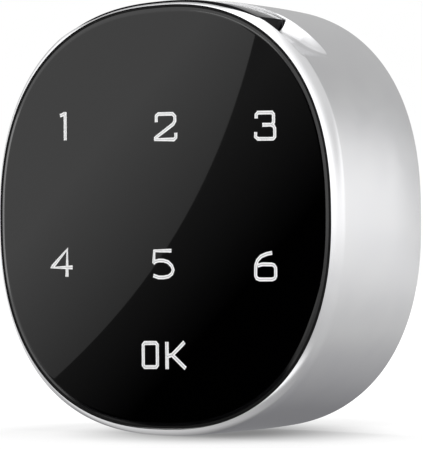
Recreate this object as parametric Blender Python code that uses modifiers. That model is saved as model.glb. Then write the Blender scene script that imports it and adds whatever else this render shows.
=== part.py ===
"""Electronic cabinet lock: a touch keypad front over a motor driven cam.

Metres, +Z up, -Y towards the user and +Y into the door. The origin is the centre of the door
hole on the door's outer face, and the cam turns about the Y axis.
"""

import math

import bmesh
import bpy

# Clearances
GAP = 0.0003                    # between neighbouring pieces
OVERRUN = 0.001                 # how far a cutter runs past what it cuts
EMBED = 0.0004                  # how far a rib or post is sunk into the wall that carries it
WELD = 0.000001                 # merge distance of coincident points
FACET_ANGLE = math.radians(35)  # sharper edges stay sharp in the shading

# Facet counts
OUTLINE_POINTS = 64
ROUND_STEPS = 20
SMALL_ROUND_STEPS = 12
CORNER_POINTS = 4

# Body outline, a superellipse seen from the front
BODY_HALF = 0.0321
BODY_EXPONENT = 2.41
BODY_DEPTH = 0.0220             # door face to the front of the glass
BARREL_LENGTH = 0.0200          # door face to the end of the threaded tube
REAR_LIFT = 0.02273 * BODY_DEPTH  # the shell's rear edge stands off the door
REAR_DRAW = 0.00779 * BODY_HALF  # how far the side draws in at its rear edge
REAR_DRAW_LENGTH = 0.31818 * BODY_DEPTH
SHELL_WALL = 0.05919 * BODY_HALF

# Lip round the glass
LIP_WIDTH = 0.03427 * BODY_HALF
LIP_FLAT = 0.00779 * BODY_HALF
LIP_ROUND_DEPTH = 0.09091 * BODY_DEPTH
LIP_INNER_CHAMFER = 0.00682 * BODY_DEPTH

# Cover glass
PANEL_EXPONENT = 2.344
PANEL_THICKNESS = 0.03636 * BODY_DEPTH
PANEL_BEVEL_WIDTH = 0.01558 * BODY_HALF
PANEL_BEVEL_DEPTH = 0.01818 * BODY_DEPTH

# Ledge behind the glass
LEDGE_WIDTH = 0.14642 * BODY_HALF
LEDGE_THICKNESS = 0.06818 * BODY_DEPTH

# Groove across the top of the shell
GROOVE_WALL_FRONT = 0.02727 * BODY_DEPTH
GROOVE_WALL = 0.05455 * BODY_DEPTH
GROOVE_SETBACK = 0.00455 * BODY_DEPTH  # the trough stands this far behind the ledge's front
GROOVE_WIDTH = 0.27273 * BODY_DEPTH
GROOVE_DEPTH = 0.31153 * BODY_HALF  # body top to the groove's lowest line
GROOVE_LOW_SHARE = 0.7          # place of the lowest line across the groove
GROOVE_FRONT_RISE = 0.11215 * BODY_HALF
GROOVE_REAR_RISE = 0.08100 * BODY_HALF
GROOVE_CURVE_POINTS = 5
BLANK_INSET = 0.01558 * BODY_HALF  # the trough ends this deep inside the shell's wall

# Release button
BUTTON_HALF_LENGTH = 0.54517 * BODY_HALF
BUTTON_DROP = 0.00623 * BODY_HALF  # the button's top lies this far below the body outline
BUTTON_TRAVEL = 0.05607 * BODY_HALF
BUTTON_SPRING_X = 0.21807 * BODY_HALF
BUTTON_POCKET_RADIUS = 0.07273 * BODY_DEPTH
BUTTON_POCKET_DEPTH = 0.08723 * BODY_HALF
BUTTON_SPRING_RADIUS = 0.05000 * BODY_DEPTH  # of the wire's centre line
BUTTON_SPRING_SEAT = 0.02181 * BODY_HALF  # above the groove's lowest line
BUTTON_SPRING_SHARE = 0.6       # place of the springs across the groove
BUTTON_SPRING_WIRE = 0.00909 * BODY_DEPTH
BUTTON_SPRING_TURNS = 4
HOOK_X = 0.48598 * BODY_HALF
HOOK_WIDTH = 0.08100 * BODY_HALF
HOOK_THICKNESS = 0.05909 * BODY_DEPTH
HOOK_STEM_SHARE = 0.72          # place of the stem's middle across the groove
HOOK_CATCH = 0.04673 * BODY_HALF  # how far the nose reaches up behind the bar

# Light guide and touch board
GUIDE_CLEARANCE = 0.0003
TROUGH_CLEARANCE = 0.0005       # flat top edge of guide and board, below the trough
BOARD_THICKNESS = 0.04545 * BODY_DEPTH
BOARD_SCREW_HEAD_RADIUS = 0.04050 * BODY_HALF
BOARD_SCREW_HEAD_HEIGHT = 0.03636 * BODY_DEPTH
BOARD_SCREW_RADIUS = 0.01869 * BODY_HALF
BOARD_SCREW_INSET = 0.05607 * BODY_HALF
BOARD_SCREW_ANGLES = (20, 160, 225, 315)
BOARD_SCREW_REACH = 0.03636 * BODY_DEPTH  # depth of the thread in the ledge
LED_SIZE = 0.04984 * BODY_HALF
LED_HEIGHT = 0.02727 * BODY_DEPTH
KEY_PITCH = 0.59190 * BODY_HALF
KEY_SHIFT = 0.03115 * BODY_HALF  # the key columns sit this far right of the middle
KEY_UPPER_ROW = 0.41433 * BODY_HALF
KEY_LOWER_ROW = -0.21495 * BODY_HALF
KEY_OK_ROW = -0.62928 * BODY_HALF
CHIP_SIZE = 0.18692 * BODY_HALF
CHIP_HEIGHT = 0.04091 * BODY_DEPTH
CHIP_X = -0.49844 * BODY_HALF
BOARD_PART_Z = 0.34891 * BODY_HALF
BUZZER_RADIUS = 0.13396 * BODY_HALF
BUZZER_HEIGHT = 0.14545 * BODY_DEPTH
BUZZER_X = -0.14019 * BODY_HALF
BUZZER_HOLE_RADIUS = 0.02492 * BODY_HALF
BUZZER_HOLE_DEPTH = 0.04545 * BODY_DEPTH

# Base plate and gasket
GASKET_THICKNESS = 0.03636 * BODY_DEPTH
GASKET_INSET = 0.01558 * BODY_HALF
BASE_THICKNESS = 0.06818 * BODY_DEPTH
PLATE_INSET = 0.01869 * BODY_HALF  # base plate and chassis inside the shell's wall

# Gear layers, from the base plate to the chassis
GEAR_FACE = 0.05455 * BODY_DEPTH
GEAR_REAR_CLEARANCE = 0.02273 * BODY_DEPTH
CHASSIS_PLATE = 0.03636 * BODY_DEPTH
MODULE = 0.01558 * BODY_HALF
PRESSURE_ANGLE = math.radians(25)
ADDENDUM_SHARE = 0.8            # of the module
DEDENDUM_SHARE = 1.15
BACKLASH_SHARE = 0.2            # thins each tooth at the pitch circle
FLANK_POINTS = 3
OUTPUT_TEETH = 40
IDLER_LARGE_TEETH_2 = 30
IDLER_LARGE_TEETH_1 = 24
PINION_TEETH = 10
IDLER_2_ANGLE = math.radians(116.1)
IDLER_1_ANGLE = math.radians(39.6)
MOTOR_ANGLE = math.radians(-36.9)
IDLER_PIN_RADIUS = 0.02336 * BODY_HALF
IDLER_PIN_HEAD_RADIUS = 0.04673 * BODY_HALF
IDLER_PIN_HEAD = 0.02273 * BODY_DEPTH
BORE_RELIEF = 0.003 * BODY_HALF  # wider bore through an idler's small gear
IDLER_PIN_SEAT = 0.05455 * BODY_DEPTH  # how deep the pins stand in the base plate
STOP_RADIUS = 0.20561 * BODY_HALF
STOP_PIN_RADIUS = 0.02804 * BODY_HALF
STOP_PIN_SEAT = 0.05000 * BODY_DEPTH  # how deep the stop pin stands in the barrel
CAM_SWING = math.radians(90)

# Spindle
SPINDLE_RADIUS = 0.11838 * BODY_HALF
SPINDLE_COLLAR_RADIUS = 0.13396 * BODY_HALF
SPINDLE_PIVOT_RADIUS = 0.04673 * BODY_HALF
SPINDLE_GEAR_SQUARE = 0.14330 * BODY_HALF
SPINDLE_CAM_SQUARE = 0.16199 * BODY_HALF
SPINDLE_BORE_DEPTH = 0.39000 * BARREL_LENGTH

# Barrel through the door
BARREL_RADIUS = 0.29595 * BODY_HALF
BARREL_FLATS_HALF = 0.24922 * BODY_HALF
BARREL_UNDERCUT = 0.0001
FLANGE_RADIUS = 0.46729 * BODY_HALF
DOOR_THICKNESS = 0.66500 * BARREL_LENGTH
WASHER_RADIUS = 0.45171 * BODY_HALF
WASHER_THICKNESS = 0.05000 * BARREL_LENGTH
NUT_ACROSS_FLATS = 0.74766 * BODY_HALF
NUT_THICKNESS = 0.22500 * BARREL_LENGTH
NUT_CHAMFER = 0.04000 * BARREL_LENGTH

# Cam
CAM_HUB_RADIUS = 0.28037 * BODY_HALF
CAM_TIP_RADIUS = 0.18692 * BODY_HALF
CAM_REACH = 1.05919 * BODY_HALF  # spindle to the centre of the cam's rounded tip
CAM_THICKNESS = 0.15000 * BARREL_LENGTH
CAM_WASHER_RADIUS = 0.20249 * BODY_HALF
CAM_WASHER_THICKNESS = 0.04000 * BARREL_LENGTH
CAM_SCREW_HEAD_RADIUS = 0.10903 * BODY_HALF
CAM_SCREW_HEAD = 0.12000 * BARREL_LENGTH
CAM_SCREW_RADIUS = 0.04984 * BODY_HALF
CAM_SCREW_REACH = 0.37500 * BARREL_LENGTH

# Batteries and their contacts
CELL_RADIUS = min(0.16355 * BODY_HALF, 0.23864 * BODY_DEPTH)
CELL_LENGTH = 1.38629 * BODY_HALF
NUB_RADIUS = 0.36 * CELL_RADIUS
NUB_LENGTH = 0.02492 * BODY_HALF
CELL_EDGE = 0.08 * CELL_RADIUS
LOWER_CELL_Z = -0.35826 * BODY_HALF
CONTACT_ROOM = 0.05919 * BODY_HALF  # at each end of a centred cell
CONTACT_SPRING_RADIUS = 0.4 * CELL_RADIUS
CONTACT_SPRING_WIRE = 0.03 * CELL_RADIUS
CONTACT_SPRING_TURNS = 3
CONTACT_PLATE = 0.01246 * BODY_HALF
CONTACT_HALF_WIDTH = 0.76 * CELL_RADIUS

# Motor
MOTOR_RADIUS = 0.15576 * BODY_HALF
MOTOR_FLAT_HALF = 0.12461 * BODY_HALF
MOTOR_CAP_LENGTH = 0.06818 * BODY_DEPTH
MOTOR_LENGTH = 0.38636 * BODY_DEPTH
MOTOR_SHAFT_RADIUS = 0.01558 * BODY_HALF
MOTOR_SHAFT_IN_CAN = 0.18182 * BODY_DEPTH
MOTOR_BOSS_RADIUS = 0.04673 * BODY_HALF

# Chassis
CRADLE_WALL = 0.02492 * BODY_HALF
CRADLE_DEPTH = 0.34091 * BODY_DEPTH  # cradle wall forward of the chassis plate
CRADLE_CORNER = 0.06231 * BODY_HALF
SADDLE_DEPTH = 0.18182 * BODY_DEPTH
POST_RADIUS = 0.07477 * BODY_HALF
POST_X = 0.61059 * BODY_HALF
POST_FORWARD = 0.09091 * BODY_DEPTH
BAR_THICKNESS = 0.06364 * BODY_DEPTH
BAR_HEIGHT = 0.06231 * BODY_HALF
BAR_OUTER_ARM_X = 0.59190 * BODY_HALF
BAR_INNER_ARM_X = 0.41433 * BODY_HALF
ARM_THICKNESS = 0.03115 * BODY_HALF
SCREW_HEAD_RADIUS = 0.05919 * BODY_HALF
SCREW_HEAD = 0.03182 * BODY_DEPTH
SCREW_RADIUS = 0.03115 * BODY_HALF
SCREW_SEAT = 0.04545 * BODY_DEPTH  # depth of the screw's recess in the base plate
CATCH_RIB_HALF = 0.15576 * BODY_HALF
CATCH_RIB_HEIGHT = 0.05607 * BODY_HALF

# Spring pin block and position switch
BLOCK_HALF_LENGTH = 0.18692 * BODY_HALF
BLOCK_HALF_HEIGHT = 0.04984 * BODY_HALF
BLOCK_Z = -0.71028 * BODY_HALF
BLOCK_PINS = 4
BLOCK_PIN_PITCH = 0.07788 * BODY_HALF
BLOCK_PIN_RADIUS = 0.01558 * BODY_HALF
BLOCK_PIN_LENGTH = 0.07273 * BODY_DEPTH
SWITCH_HALF_LENGTH = 0.09969 * BODY_HALF
SWITCH_HEIGHT = 0.08411 * BODY_HALF
SWITCH_DEPTH = 0.13182 * BODY_DEPTH

# Places along the depth, worked out from the door face to the glass
FRONT_Y = -BODY_DEPTH
REAR_EDGE_Y = -REAR_LIFT
LEDGE_Y = FRONT_Y + PANEL_THICKNESS + GAP
LEDGE_REAR_Y = LEDGE_Y + LEDGE_THICKNESS
BOARD_FRONT_Y = LEDGE_REAR_Y + GAP
BOARD_REAR_Y = BOARD_FRONT_Y + BOARD_THICKNESS
LED_FRONT_Y = BOARD_FRONT_Y - GAP - LED_HEIGHT
BASE_REAR_Y = -GASKET_THICKNESS - GAP
BASE_FRONT_Y = BASE_REAR_Y - BASE_THICKNESS
GEAR_A_REAR_Y = BASE_FRONT_Y - GEAR_REAR_CLEARANCE
GEAR_A_FRONT_Y = GEAR_A_REAR_Y - GEAR_FACE
GEAR_B_REAR_Y = GEAR_A_FRONT_Y - GAP
GEAR_B_FRONT_Y = GEAR_B_REAR_Y - GEAR_FACE
CHASSIS_REAR_Y = GEAR_B_FRONT_Y - GAP
CHASSIS_FRONT_Y = CHASSIS_REAR_Y - CHASSIS_PLATE
CELL_Y = CHASSIS_FRONT_Y - GAP - CELL_RADIUS
BARREL_END_Y = BARREL_LENGTH
CAM_FRONT_Y = BARREL_END_Y + GAP
CAM_REAR_Y = CAM_FRONT_Y + CAM_THICKNESS

# Places in the front view
POCKET_HALF = BODY_HALF - LIP_WIDTH
PANEL_HALF = POCKET_HALF - GAP
INNER_HALF = BODY_HALF - SHELL_WALL
LEDGE_HALF = POCKET_HALF - LEDGE_WIDTH
GUIDE_HALF = LEDGE_HALF - GUIDE_CLEARANCE
BOARD_HALF = INNER_HALF - GAP
PLATE_HALF = INNER_HALF - PLATE_INSET
GASKET_HALF = PLATE_HALF - GASKET_INSET
TROUGH_FRONT_Y = LEDGE_Y + GROOVE_SETBACK
GROOVE_FRONT_Y = TROUGH_FRONT_Y + GROOVE_WALL_FRONT
GROOVE_REAR_Y = GROOVE_FRONT_Y + GROOVE_WIDTH
GROOVE_FLOOR_Z = BODY_HALF - GROOVE_DEPTH
TROUGH_Z = GROOVE_FLOOR_Z - GROOVE_WALL
BOARD_TOP_Z = TROUGH_Z - TROUGH_CLEARANCE
BUTTON_BOTTOM_Z = GROOVE_FLOOR_Z + BUTTON_TRAVEL + GAP
BUTTON_SPRING_Y = GROOVE_FRONT_Y + GROOVE_WIDTH * BUTTON_SPRING_SHARE
UPPER_CELL_Z = LOWER_CELL_Z + 2 * CELL_RADIUS + GAP
CELL_HALF = CELL_LENGTH / 2
CONTACT_PLATE_X = CELL_HALF + CONTACT_ROOM
CELL_SHIFT = CONTACT_ROOM - GAP
CRADLE_INNER_HALF = CONTACT_PLATE_X + CONTACT_PLATE + GAP
CRADLE_LOW_Z = LOWER_CELL_Z - CELL_RADIUS - GAP
CRADLE_HIGH_Z = UPPER_CELL_Z + CELL_RADIUS + GAP
CRADLE_FRONT_Y = CHASSIS_FRONT_Y - CRADLE_DEPTH
KEY_COLUMNS = (KEY_SHIFT - KEY_PITCH, KEY_SHIFT, KEY_SHIFT + KEY_PITCH)

# Hook bar of the chassis and the button's hooks
BAR_FRONT_Y = GROOVE_REAR_Y
BAR_REAR_Y = BAR_FRONT_Y + BAR_THICKNESS
BAR_TOP_Z = TROUGH_Z - 2 * HOOK_CATCH + OVERRUN
BAR_LOW_Z = BAR_TOP_Z - BAR_HEIGHT
HOOK_STEM_Y = GROOVE_FRONT_Y + GROOVE_WIDTH * HOOK_STEM_SHARE
HOOK_FOOT_TOP_Z = BAR_LOW_Z - GAP
HOOK_FOOT_LOW_Z = HOOK_FOOT_TOP_Z - HOOK_THICKNESS
HOOK_NOSE_FRONT_Y = BAR_REAR_Y + GAP
HOOK_NOSE_REAR_Y = HOOK_NOSE_FRONT_Y + HOOK_THICKNESS


def remove_all():
    for obj in list(bpy.data.objects):
        bpy.data.objects.remove(obj)


remove_all()
lock = bpy.data.collections.new("cabinet_lock")
cutters = bpy.data.collections.new("cutters")
bpy.context.scene.collection.children.link(lock)
bpy.context.scene.collection.children.link(cutters)


def material(name, colour, roughness, metallic=0.0):
    """A Principled material with one colour."""
    made = bpy.data.materials.new(name)
    made.use_nodes = True
    shader = made.node_tree.nodes["Principled BSDF"]
    shader.inputs["Base Color"].default_value = (*colour, 1.0)
    shader.inputs["Roughness"].default_value = roughness
    shader.inputs["Metallic"].default_value = metallic
    return made


SATIN_CHROME = material("satin_chrome", (0.78, 0.78, 0.80), 0.28, 1.0)
BLACK_GLASS = material("black_glass", (0.005, 0.005, 0.006), 0.05)
BLACK_GLOSS = material("black_gloss_plastic", (0.01, 0.01, 0.011), 0.18)
BLACK_PLASTIC = material("black_plastic", (0.03, 0.03, 0.03), 0.5)
OPAL_PLASTIC = material("opal_plastic", (0.85, 0.86, 0.84), 0.4)
WHITE_PLASTIC = material("white_acetal", (0.82, 0.81, 0.76), 0.45)
BOARD_GREEN = material("board_green", (0.02, 0.14, 0.06), 0.35)
LED_WHITE = material("led_white", (0.9, 0.88, 0.7), 0.3)
STEEL = material("zinc_steel", (0.6, 0.6, 0.62), 0.35, 1.0)
SPRING_STEEL = material("spring_steel", (0.5, 0.5, 0.52), 0.3, 1.0)
BRASS = material("brass", (0.72, 0.55, 0.25), 0.3, 1.0)
ZINC = material("zinc_casting", (0.55, 0.55, 0.57), 0.4, 1.0)
FOAM = material("foam_rubber", (0.04, 0.04, 0.045), 0.9)
CELL_WRAP = material("cell_wrap", (0.05, 0.05, 0.06), 0.35)


def adopt(obj, collection):
    """Move an object into one collection only."""
    for owner in list(obj.users_collection):
        owner.objects.unlink(obj)
    collection.objects.link(obj)


def finish(obj, surface):
    """Put a solid into the lock, with its material and its shading."""
    adopt(obj, lock)
    obj.data.materials.clear()
    obj.data.materials.append(surface)
    obj.data.shade_smooth()
    obj.data.set_sharp_from_angle(angle=FACET_ANGLE)
    return obj


def as_cutter(obj):
    """Keep an object as a guide for Boolean modifiers."""
    adopt(obj, cutters)
    obj.hide_render = True
    obj.display_type = "WIRE"
    return obj


def combine(target, other, operation):
    """Boolean of a target with another solid, which becomes a cutter."""
    as_cutter(other)
    modifier = target.modifiers.new(operation.lower() + "_" + other.name, "BOOLEAN")
    modifier.operation = operation
    modifier.object = other
    return target


def cut(target, *others):
    for other in others:
        combine(target, other, "DIFFERENCE")
    return target


def join(target, *others):
    for other in others:
        combine(target, other, "UNION")
    return target


def pivot(name, x, z):
    """Empty on a joint's axis, which carries the pieces that turn or slide with it."""
    empty = bpy.data.objects.new(name, None)
    empty.location = (x, 0, z)
    lock.objects.link(empty)
    return empty


def carry(empty, *pieces):
    """Parent pieces to an empty and leave them where they are."""
    bpy.context.view_layer.update()
    for piece in pieces:
        piece.parent = empty
        piece.matrix_parent_inverse = empty.matrix_world.inverted()


# Outlines, as lists of points in one plane


def squircle(half, exponent, top=None):
    """Superellipse, cut straight across at the height top where one is given."""
    points = []
    for step in range(OUTLINE_POINTS):
        angle = 2 * math.pi * step / OUTLINE_POINTS
        c, s = math.cos(angle), math.sin(angle)
        x = math.copysign(abs(c) ** (2 / exponent), c) * half
        z = math.copysign(abs(s) ** (2 / exponent), s) * half
        points.append((x, z))
    if top is None:
        return points
    side = squircle_x(half, exponent, top)
    kept = [point for point in points if point[1] < top - WELD]
    right = [point for point in kept if point[0] > 0 and point[1] >= 0]
    rest = [point for point in kept if not (point[0] > 0 and point[1] >= 0)]
    return right + [(side, top), (-side, top)] + rest


def squircle_x(half, exponent, z):
    """Half width of the superellipse at the height z."""
    return half * (1 - abs(z / half) ** exponent) ** (1 / exponent)


def circle(x, z, radius, count=ROUND_STEPS):
    return [
        (x + radius * math.cos(2 * math.pi * i / count), z + radius * math.sin(2 * math.pi * i / count))
        for i in range(count)
    ]


def arc(x, z, radius, start, end, count):
    """Points along an arc, both ends included."""
    return [
        (x + radius * math.cos(start + (end - start) * i / count),
         z + radius * math.sin(start + (end - start) * i / count))
        for i in range(count + 1)
    ]


def square(half):
    return [(-half, -half), (half, -half), (half, half), (-half, half)]


def rounded_rectangle(x0, z0, x1, z1, radius):
    quarter = math.pi / 2
    return (
        arc(x1 - radius, z1 - radius, radius, 0, quarter, CORNER_POINTS)
        + arc(x0 + radius, z1 - radius, radius, quarter, 2 * quarter, CORNER_POINTS)
        + arc(x0 + radius, z0 + radius, radius, 2 * quarter, 3 * quarter, CORNER_POINTS)
        + arc(x1 - radius, z0 + radius, radius, 3 * quarter, 4 * quarter, CORNER_POINTS)
    )


def flatted_circle(x, z, radius, flat):
    """Circle with a flat above and below."""
    reach = math.asin(flat / radius)
    return (
        arc(x, z, radius, -reach, reach, 2 * CORNER_POINTS)
        + arc(x, z, radius, math.pi - reach, math.pi + reach, 2 * CORNER_POINTS)
    )


def groove_profile(margin, lift, front_y):
    """Groove section as (y, z): a straight front and rear with two quarter ellipses between."""
    rear_y = GROOVE_REAR_Y + margin
    low_y = GROOVE_FRONT_Y + GROOVE_WIDTH * GROOVE_LOW_SHARE
    low_z = GROOVE_FLOOR_Z - margin + lift
    top_z = BODY_HALF + OVERRUN
    points = [(front_y, top_z)]
    for step in range(GROOVE_CURVE_POINTS + 1):
        angle = math.pi / 2 * step / GROOVE_CURVE_POINTS
        points.append((
            low_y - (low_y - front_y) * math.cos(angle),
            low_z + GROOVE_FRONT_RISE * (1 - math.sin(angle)),
        ))
    for step in range(1, GROOVE_CURVE_POINTS + 1):
        angle = math.pi / 2 * step / GROOVE_CURVE_POINTS
        points.append((
            low_y + (rear_y - low_y) * math.sin(angle),
            low_z + GROOVE_REAR_RISE * (1 - math.cos(angle)),
        ))
    points.append((rear_y, top_z))
    return points


def gear_outline(teeth, phase):
    """Involute spur gear with stub teeth, with a tooth centred on the angle phase."""
    pitch = MODULE * teeth / 2
    base = pitch * math.cos(PRESSURE_ANGLE)
    tip = pitch + MODULE * ADDENDUM_SHARE
    root = pitch - MODULE * DEDENDUM_SHARE
    half_tooth = (math.pi / 2 - BACKLASH_SHARE) / teeth
    involute_at_pitch = math.tan(PRESSURE_ANGLE) - PRESSURE_ANGLE
    start = max(base, root)
    flank = []
    for step in range(FLANK_POINTS):
        radius = start + (tip - start) * step / (FLANK_POINTS - 1)
        turn = math.acos(min(1.0, base / radius))
        offset = half_tooth + involute_at_pitch - (math.tan(turn) - turn)
        flank.append((radius, offset))
    if start > root:
        flank.insert(0, (root, flank[0][1]))
    points = []
    for tooth in range(teeth):
        middle = phase + 2 * math.pi * tooth / teeth
        for radius, offset in flank:
            points.append((radius * math.cos(middle - offset), radius * math.sin(middle - offset)))
        for radius, offset in reversed(flank):
            points.append((radius * math.cos(middle + offset), radius * math.sin(middle + offset)))
    return points


def meshing_phase(driven_teeth, driver_teeth, driver_phase, direction):
    """Phase of a gear that lies in the given direction from its driver and meshes with it."""
    driver_offset = driver_teeth * (driver_phase - direction)
    return direction + math.pi + (math.pi - driver_offset) / driven_teeth


# Solids


PLANE_TURNS = {
    "X": (math.pi / 2, 0, math.pi / 2),     # outline in (y, z)
    "Y": (math.pi / 2, 0, 0),               # outline in (x, z)
    "Z": (0, 0, 0),                         # outline in (x, y)
}
AXIS_TURNS = {
    "X": (0, math.pi / 2, 0),
    "Y": (-math.pi / 2, 0, 0),
    "Z": (0, 0, 0),
}


def curve_to_mesh(obj):
    """Replace a curve object by its mesh, with the caps welded."""
    bpy.context.view_layer.update()
    graph = bpy.context.evaluated_depsgraph_get()
    mesh = bpy.data.meshes.new_from_object(obj.evaluated_get(graph))
    bm = bmesh.new()
    bm.from_mesh(mesh)
    bmesh.ops.remove_doubles(bm, verts=bm.verts, dist=WELD)
    bmesh.ops.recalc_face_normals(bm, faces=bm.faces)
    bm.to_mesh(mesh)
    bm.free()
    name = obj.name
    matrix = obj.matrix_world.copy()
    bpy.data.objects.remove(obj)
    solid = bpy.data.objects.new(name, mesh)
    solid.matrix_world = matrix
    lock.objects.link(solid)
    return solid


def extruded(name, loops, low, high, axis="Y", centre=(0, 0)):
    """Flat outline with any holes, extruded along an axis between two planes."""
    curve = bpy.data.curves.new(name, "CURVE")
    curve.dimensions = "2D"
    curve.fill_mode = "BOTH"
    curve.extrude = (high - low) / 2
    for loop in loops:
        spline = curve.splines.new("POLY")
        spline.points.add(len(loop) - 1)
        for point, (u, v) in zip(spline.points, loop):
            point.co = (u, v, 0, 1)
        spline.use_cyclic_u = True
    obj = bpy.data.objects.new(name, curve)
    middle = (low + high) / 2
    places = {
        "X": (middle, centre[0], centre[1]),
        "Y": (centre[0], middle, centre[1]),
        "Z": (centre[0], centre[1], middle),
    }
    obj.location = places[axis]
    obj.rotation_euler = PLANE_TURNS[axis]
    lock.objects.link(obj)
    return curve_to_mesh(obj)


def turned(name, profile, place=(0, 0, 0), axis="Y", steps=ROUND_STEPS, closed=False):
    """Turned solid: profile of (radius, distance along the axis), far end first, outer side down."""
    mesh = bpy.data.meshes.new(name)
    edges = [(i, i + 1) for i in range(len(profile) - 1)]
    if closed:
        edges.append((len(profile) - 1, 0))
    mesh.from_pydata([(radius, 0, along) for radius, along in profile], edges, [])
    obj = bpy.data.objects.new(name, mesh)
    obj.location = place
    obj.rotation_euler = AXIS_TURNS[axis]
    lock.objects.link(obj)
    screw = obj.modifiers.new("turn", "SCREW")
    screw.steps = steps
    screw.render_steps = steps
    screw.use_merge_vertices = True
    screw.merge_threshold = WELD
    return obj


def rod(name, radius, low, high, place=(0, 0, 0), axis="Y", steps=ROUND_STEPS):
    profile = [(0, high), (radius, high), (radius, low), (0, low)]
    return turned(name, profile, place, axis, steps)


def tube(name, outer, inner, low, high, place=(0, 0, 0), axis="Y", steps=ROUND_STEPS):
    profile = [(inner, high), (outer, high), (outer, low), (inner, low)]
    return turned(name, profile, place, axis, steps, closed=True)


def box(name, low, high):
    """Block between two corners."""
    mesh = bpy.data.meshes.new(name)
    bm = bmesh.new()
    bmesh.ops.create_cube(bm, size=1.0)
    size = [high[i] - low[i] for i in range(3)]
    bmesh.ops.scale(bm, vec=size, verts=bm.verts)
    bm.to_mesh(mesh)
    bm.free()
    obj = bpy.data.objects.new(name, mesh)
    obj.location = [(high[i] + low[i]) / 2 for i in range(3)]
    lock.objects.link(obj)
    return obj


def squircle_sweep(name, rings, closed):
    """Loft of superellipse rings of unlike size: (half, exponent, y), front to rear on the outside."""
    mesh = bpy.data.meshes.new(name)
    bm = bmesh.new()
    loops = []
    for half, exponent, y in rings:
        loops.append([bm.verts.new((x, y, z)) for x, z in squircle(half, exponent)])
    pairs = list(zip(loops, loops[1:]))
    if closed:
        pairs.append((loops[-1], loops[0]))
    else:
        bm.faces.new(loops[0])
        bm.faces.new(loops[-1])
    for first, second in pairs:
        for i in range(OUTLINE_POINTS):
            j = (i + 1) % OUTLINE_POINTS
            bm.faces.new((first[i], first[j], second[j], second[i]))
    bmesh.ops.recalc_face_normals(bm, faces=bm.faces)
    bm.to_mesh(mesh)
    bm.free()
    obj = bpy.data.objects.new(name, mesh)
    lock.objects.link(obj)
    return obj


def coil(name, radius, wire, turns, low, high, place, axis):
    """Compression spring as one unbroken wire."""
    points_per_turn = 8
    count = int(turns * points_per_turn)
    curve = bpy.data.curves.new(name, "CURVE")
    curve.dimensions = "3D"
    curve.bevel_depth = wire
    curve.bevel_resolution = 1
    curve.use_fill_caps = True
    spline = curve.splines.new("POLY")
    spline.points.add(count)
    rise = high - low - 2 * wire
    for step, point in enumerate(spline.points):
        angle = 2 * math.pi * step / points_per_turn
        height = low + wire + rise * step / count
        point.co = (radius * math.cos(angle), radius * math.sin(angle), height, 1)
    obj = bpy.data.objects.new(name, curve)
    obj.location = place
    obj.rotation_euler = AXIS_TURNS[axis]
    lock.objects.link(obj)
    pitch = rise / turns
    print(name, "least gap between turns %.2f mm" % ((pitch - 2 * wire) * 1000))
    return finish(curve_to_mesh(obj), SPRING_STEEL)


def screw(name, x, z, head_y, tip_y, head_radius, head_height, shank_radius):
    """Cylinder head screw along Y: its head's outer face at head_y, its point at tip_y."""
    sense = 1 if tip_y > head_y else -1
    shoulder_y = head_y + sense * head_height
    profile = [(0, tip_y), (shank_radius, tip_y), (shank_radius, shoulder_y),
               (head_radius, shoulder_y), (head_radius, head_y), (0, head_y)]
    if sense < 0:
        profile.reverse()
    return finish(turned(name, profile, (x, 0, z), steps=SMALL_ROUND_STEPS), STEEL)


# Front shell, glass and button


def lip_rings():
    """Outer side of the shell, from the lip's crest to the rear edge."""
    crest_half = POCKET_HALF + LIP_FLAT
    rings = [
        (POCKET_HALF, BODY_EXPONENT, FRONT_Y + LIP_INNER_CHAMFER),
        (crest_half, BODY_EXPONENT, FRONT_Y),
    ]
    steps = 4
    for step in range(1, steps + 1):
        angle = math.pi / 2 * step / steps
        half = crest_half + (BODY_HALF - crest_half) * math.sin(angle)
        y = FRONT_Y + LIP_ROUND_DEPTH * (1 - math.cos(angle))
        rings.append((half, BODY_EXPONENT, y))
    draw_steps = 2
    for step in range(draw_steps + 1):
        share = step / draw_steps
        half = BODY_HALF - REAR_DRAW * share ** 2
        y = REAR_EDGE_Y - REAR_DRAW_LENGTH * (1 - share)
        rings.append((half, BODY_EXPONENT, y))
    return rings


def groove_solid(name, margin, lift, front_y, half_length):
    return extruded(name, [groove_profile(margin, lift, front_y)], -half_length, half_length, "X")


def board_screw_places():
    """Screws of the touch board, on a superellipse inside its edge."""
    places = []
    for degrees in BOARD_SCREW_ANGLES:
        angle = math.radians(degrees)
        c, s = math.cos(angle), math.sin(angle)
        half = BOARD_HALF - BOARD_SCREW_INSET
        radius = half / (abs(c) ** BODY_EXPONENT + abs(s) ** BODY_EXPONENT) ** (1 / BODY_EXPONENT)
        places.append((radius * c, radius * s))
    return places


def hook_places():
    return (-HOOK_X, HOOK_X)


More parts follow.
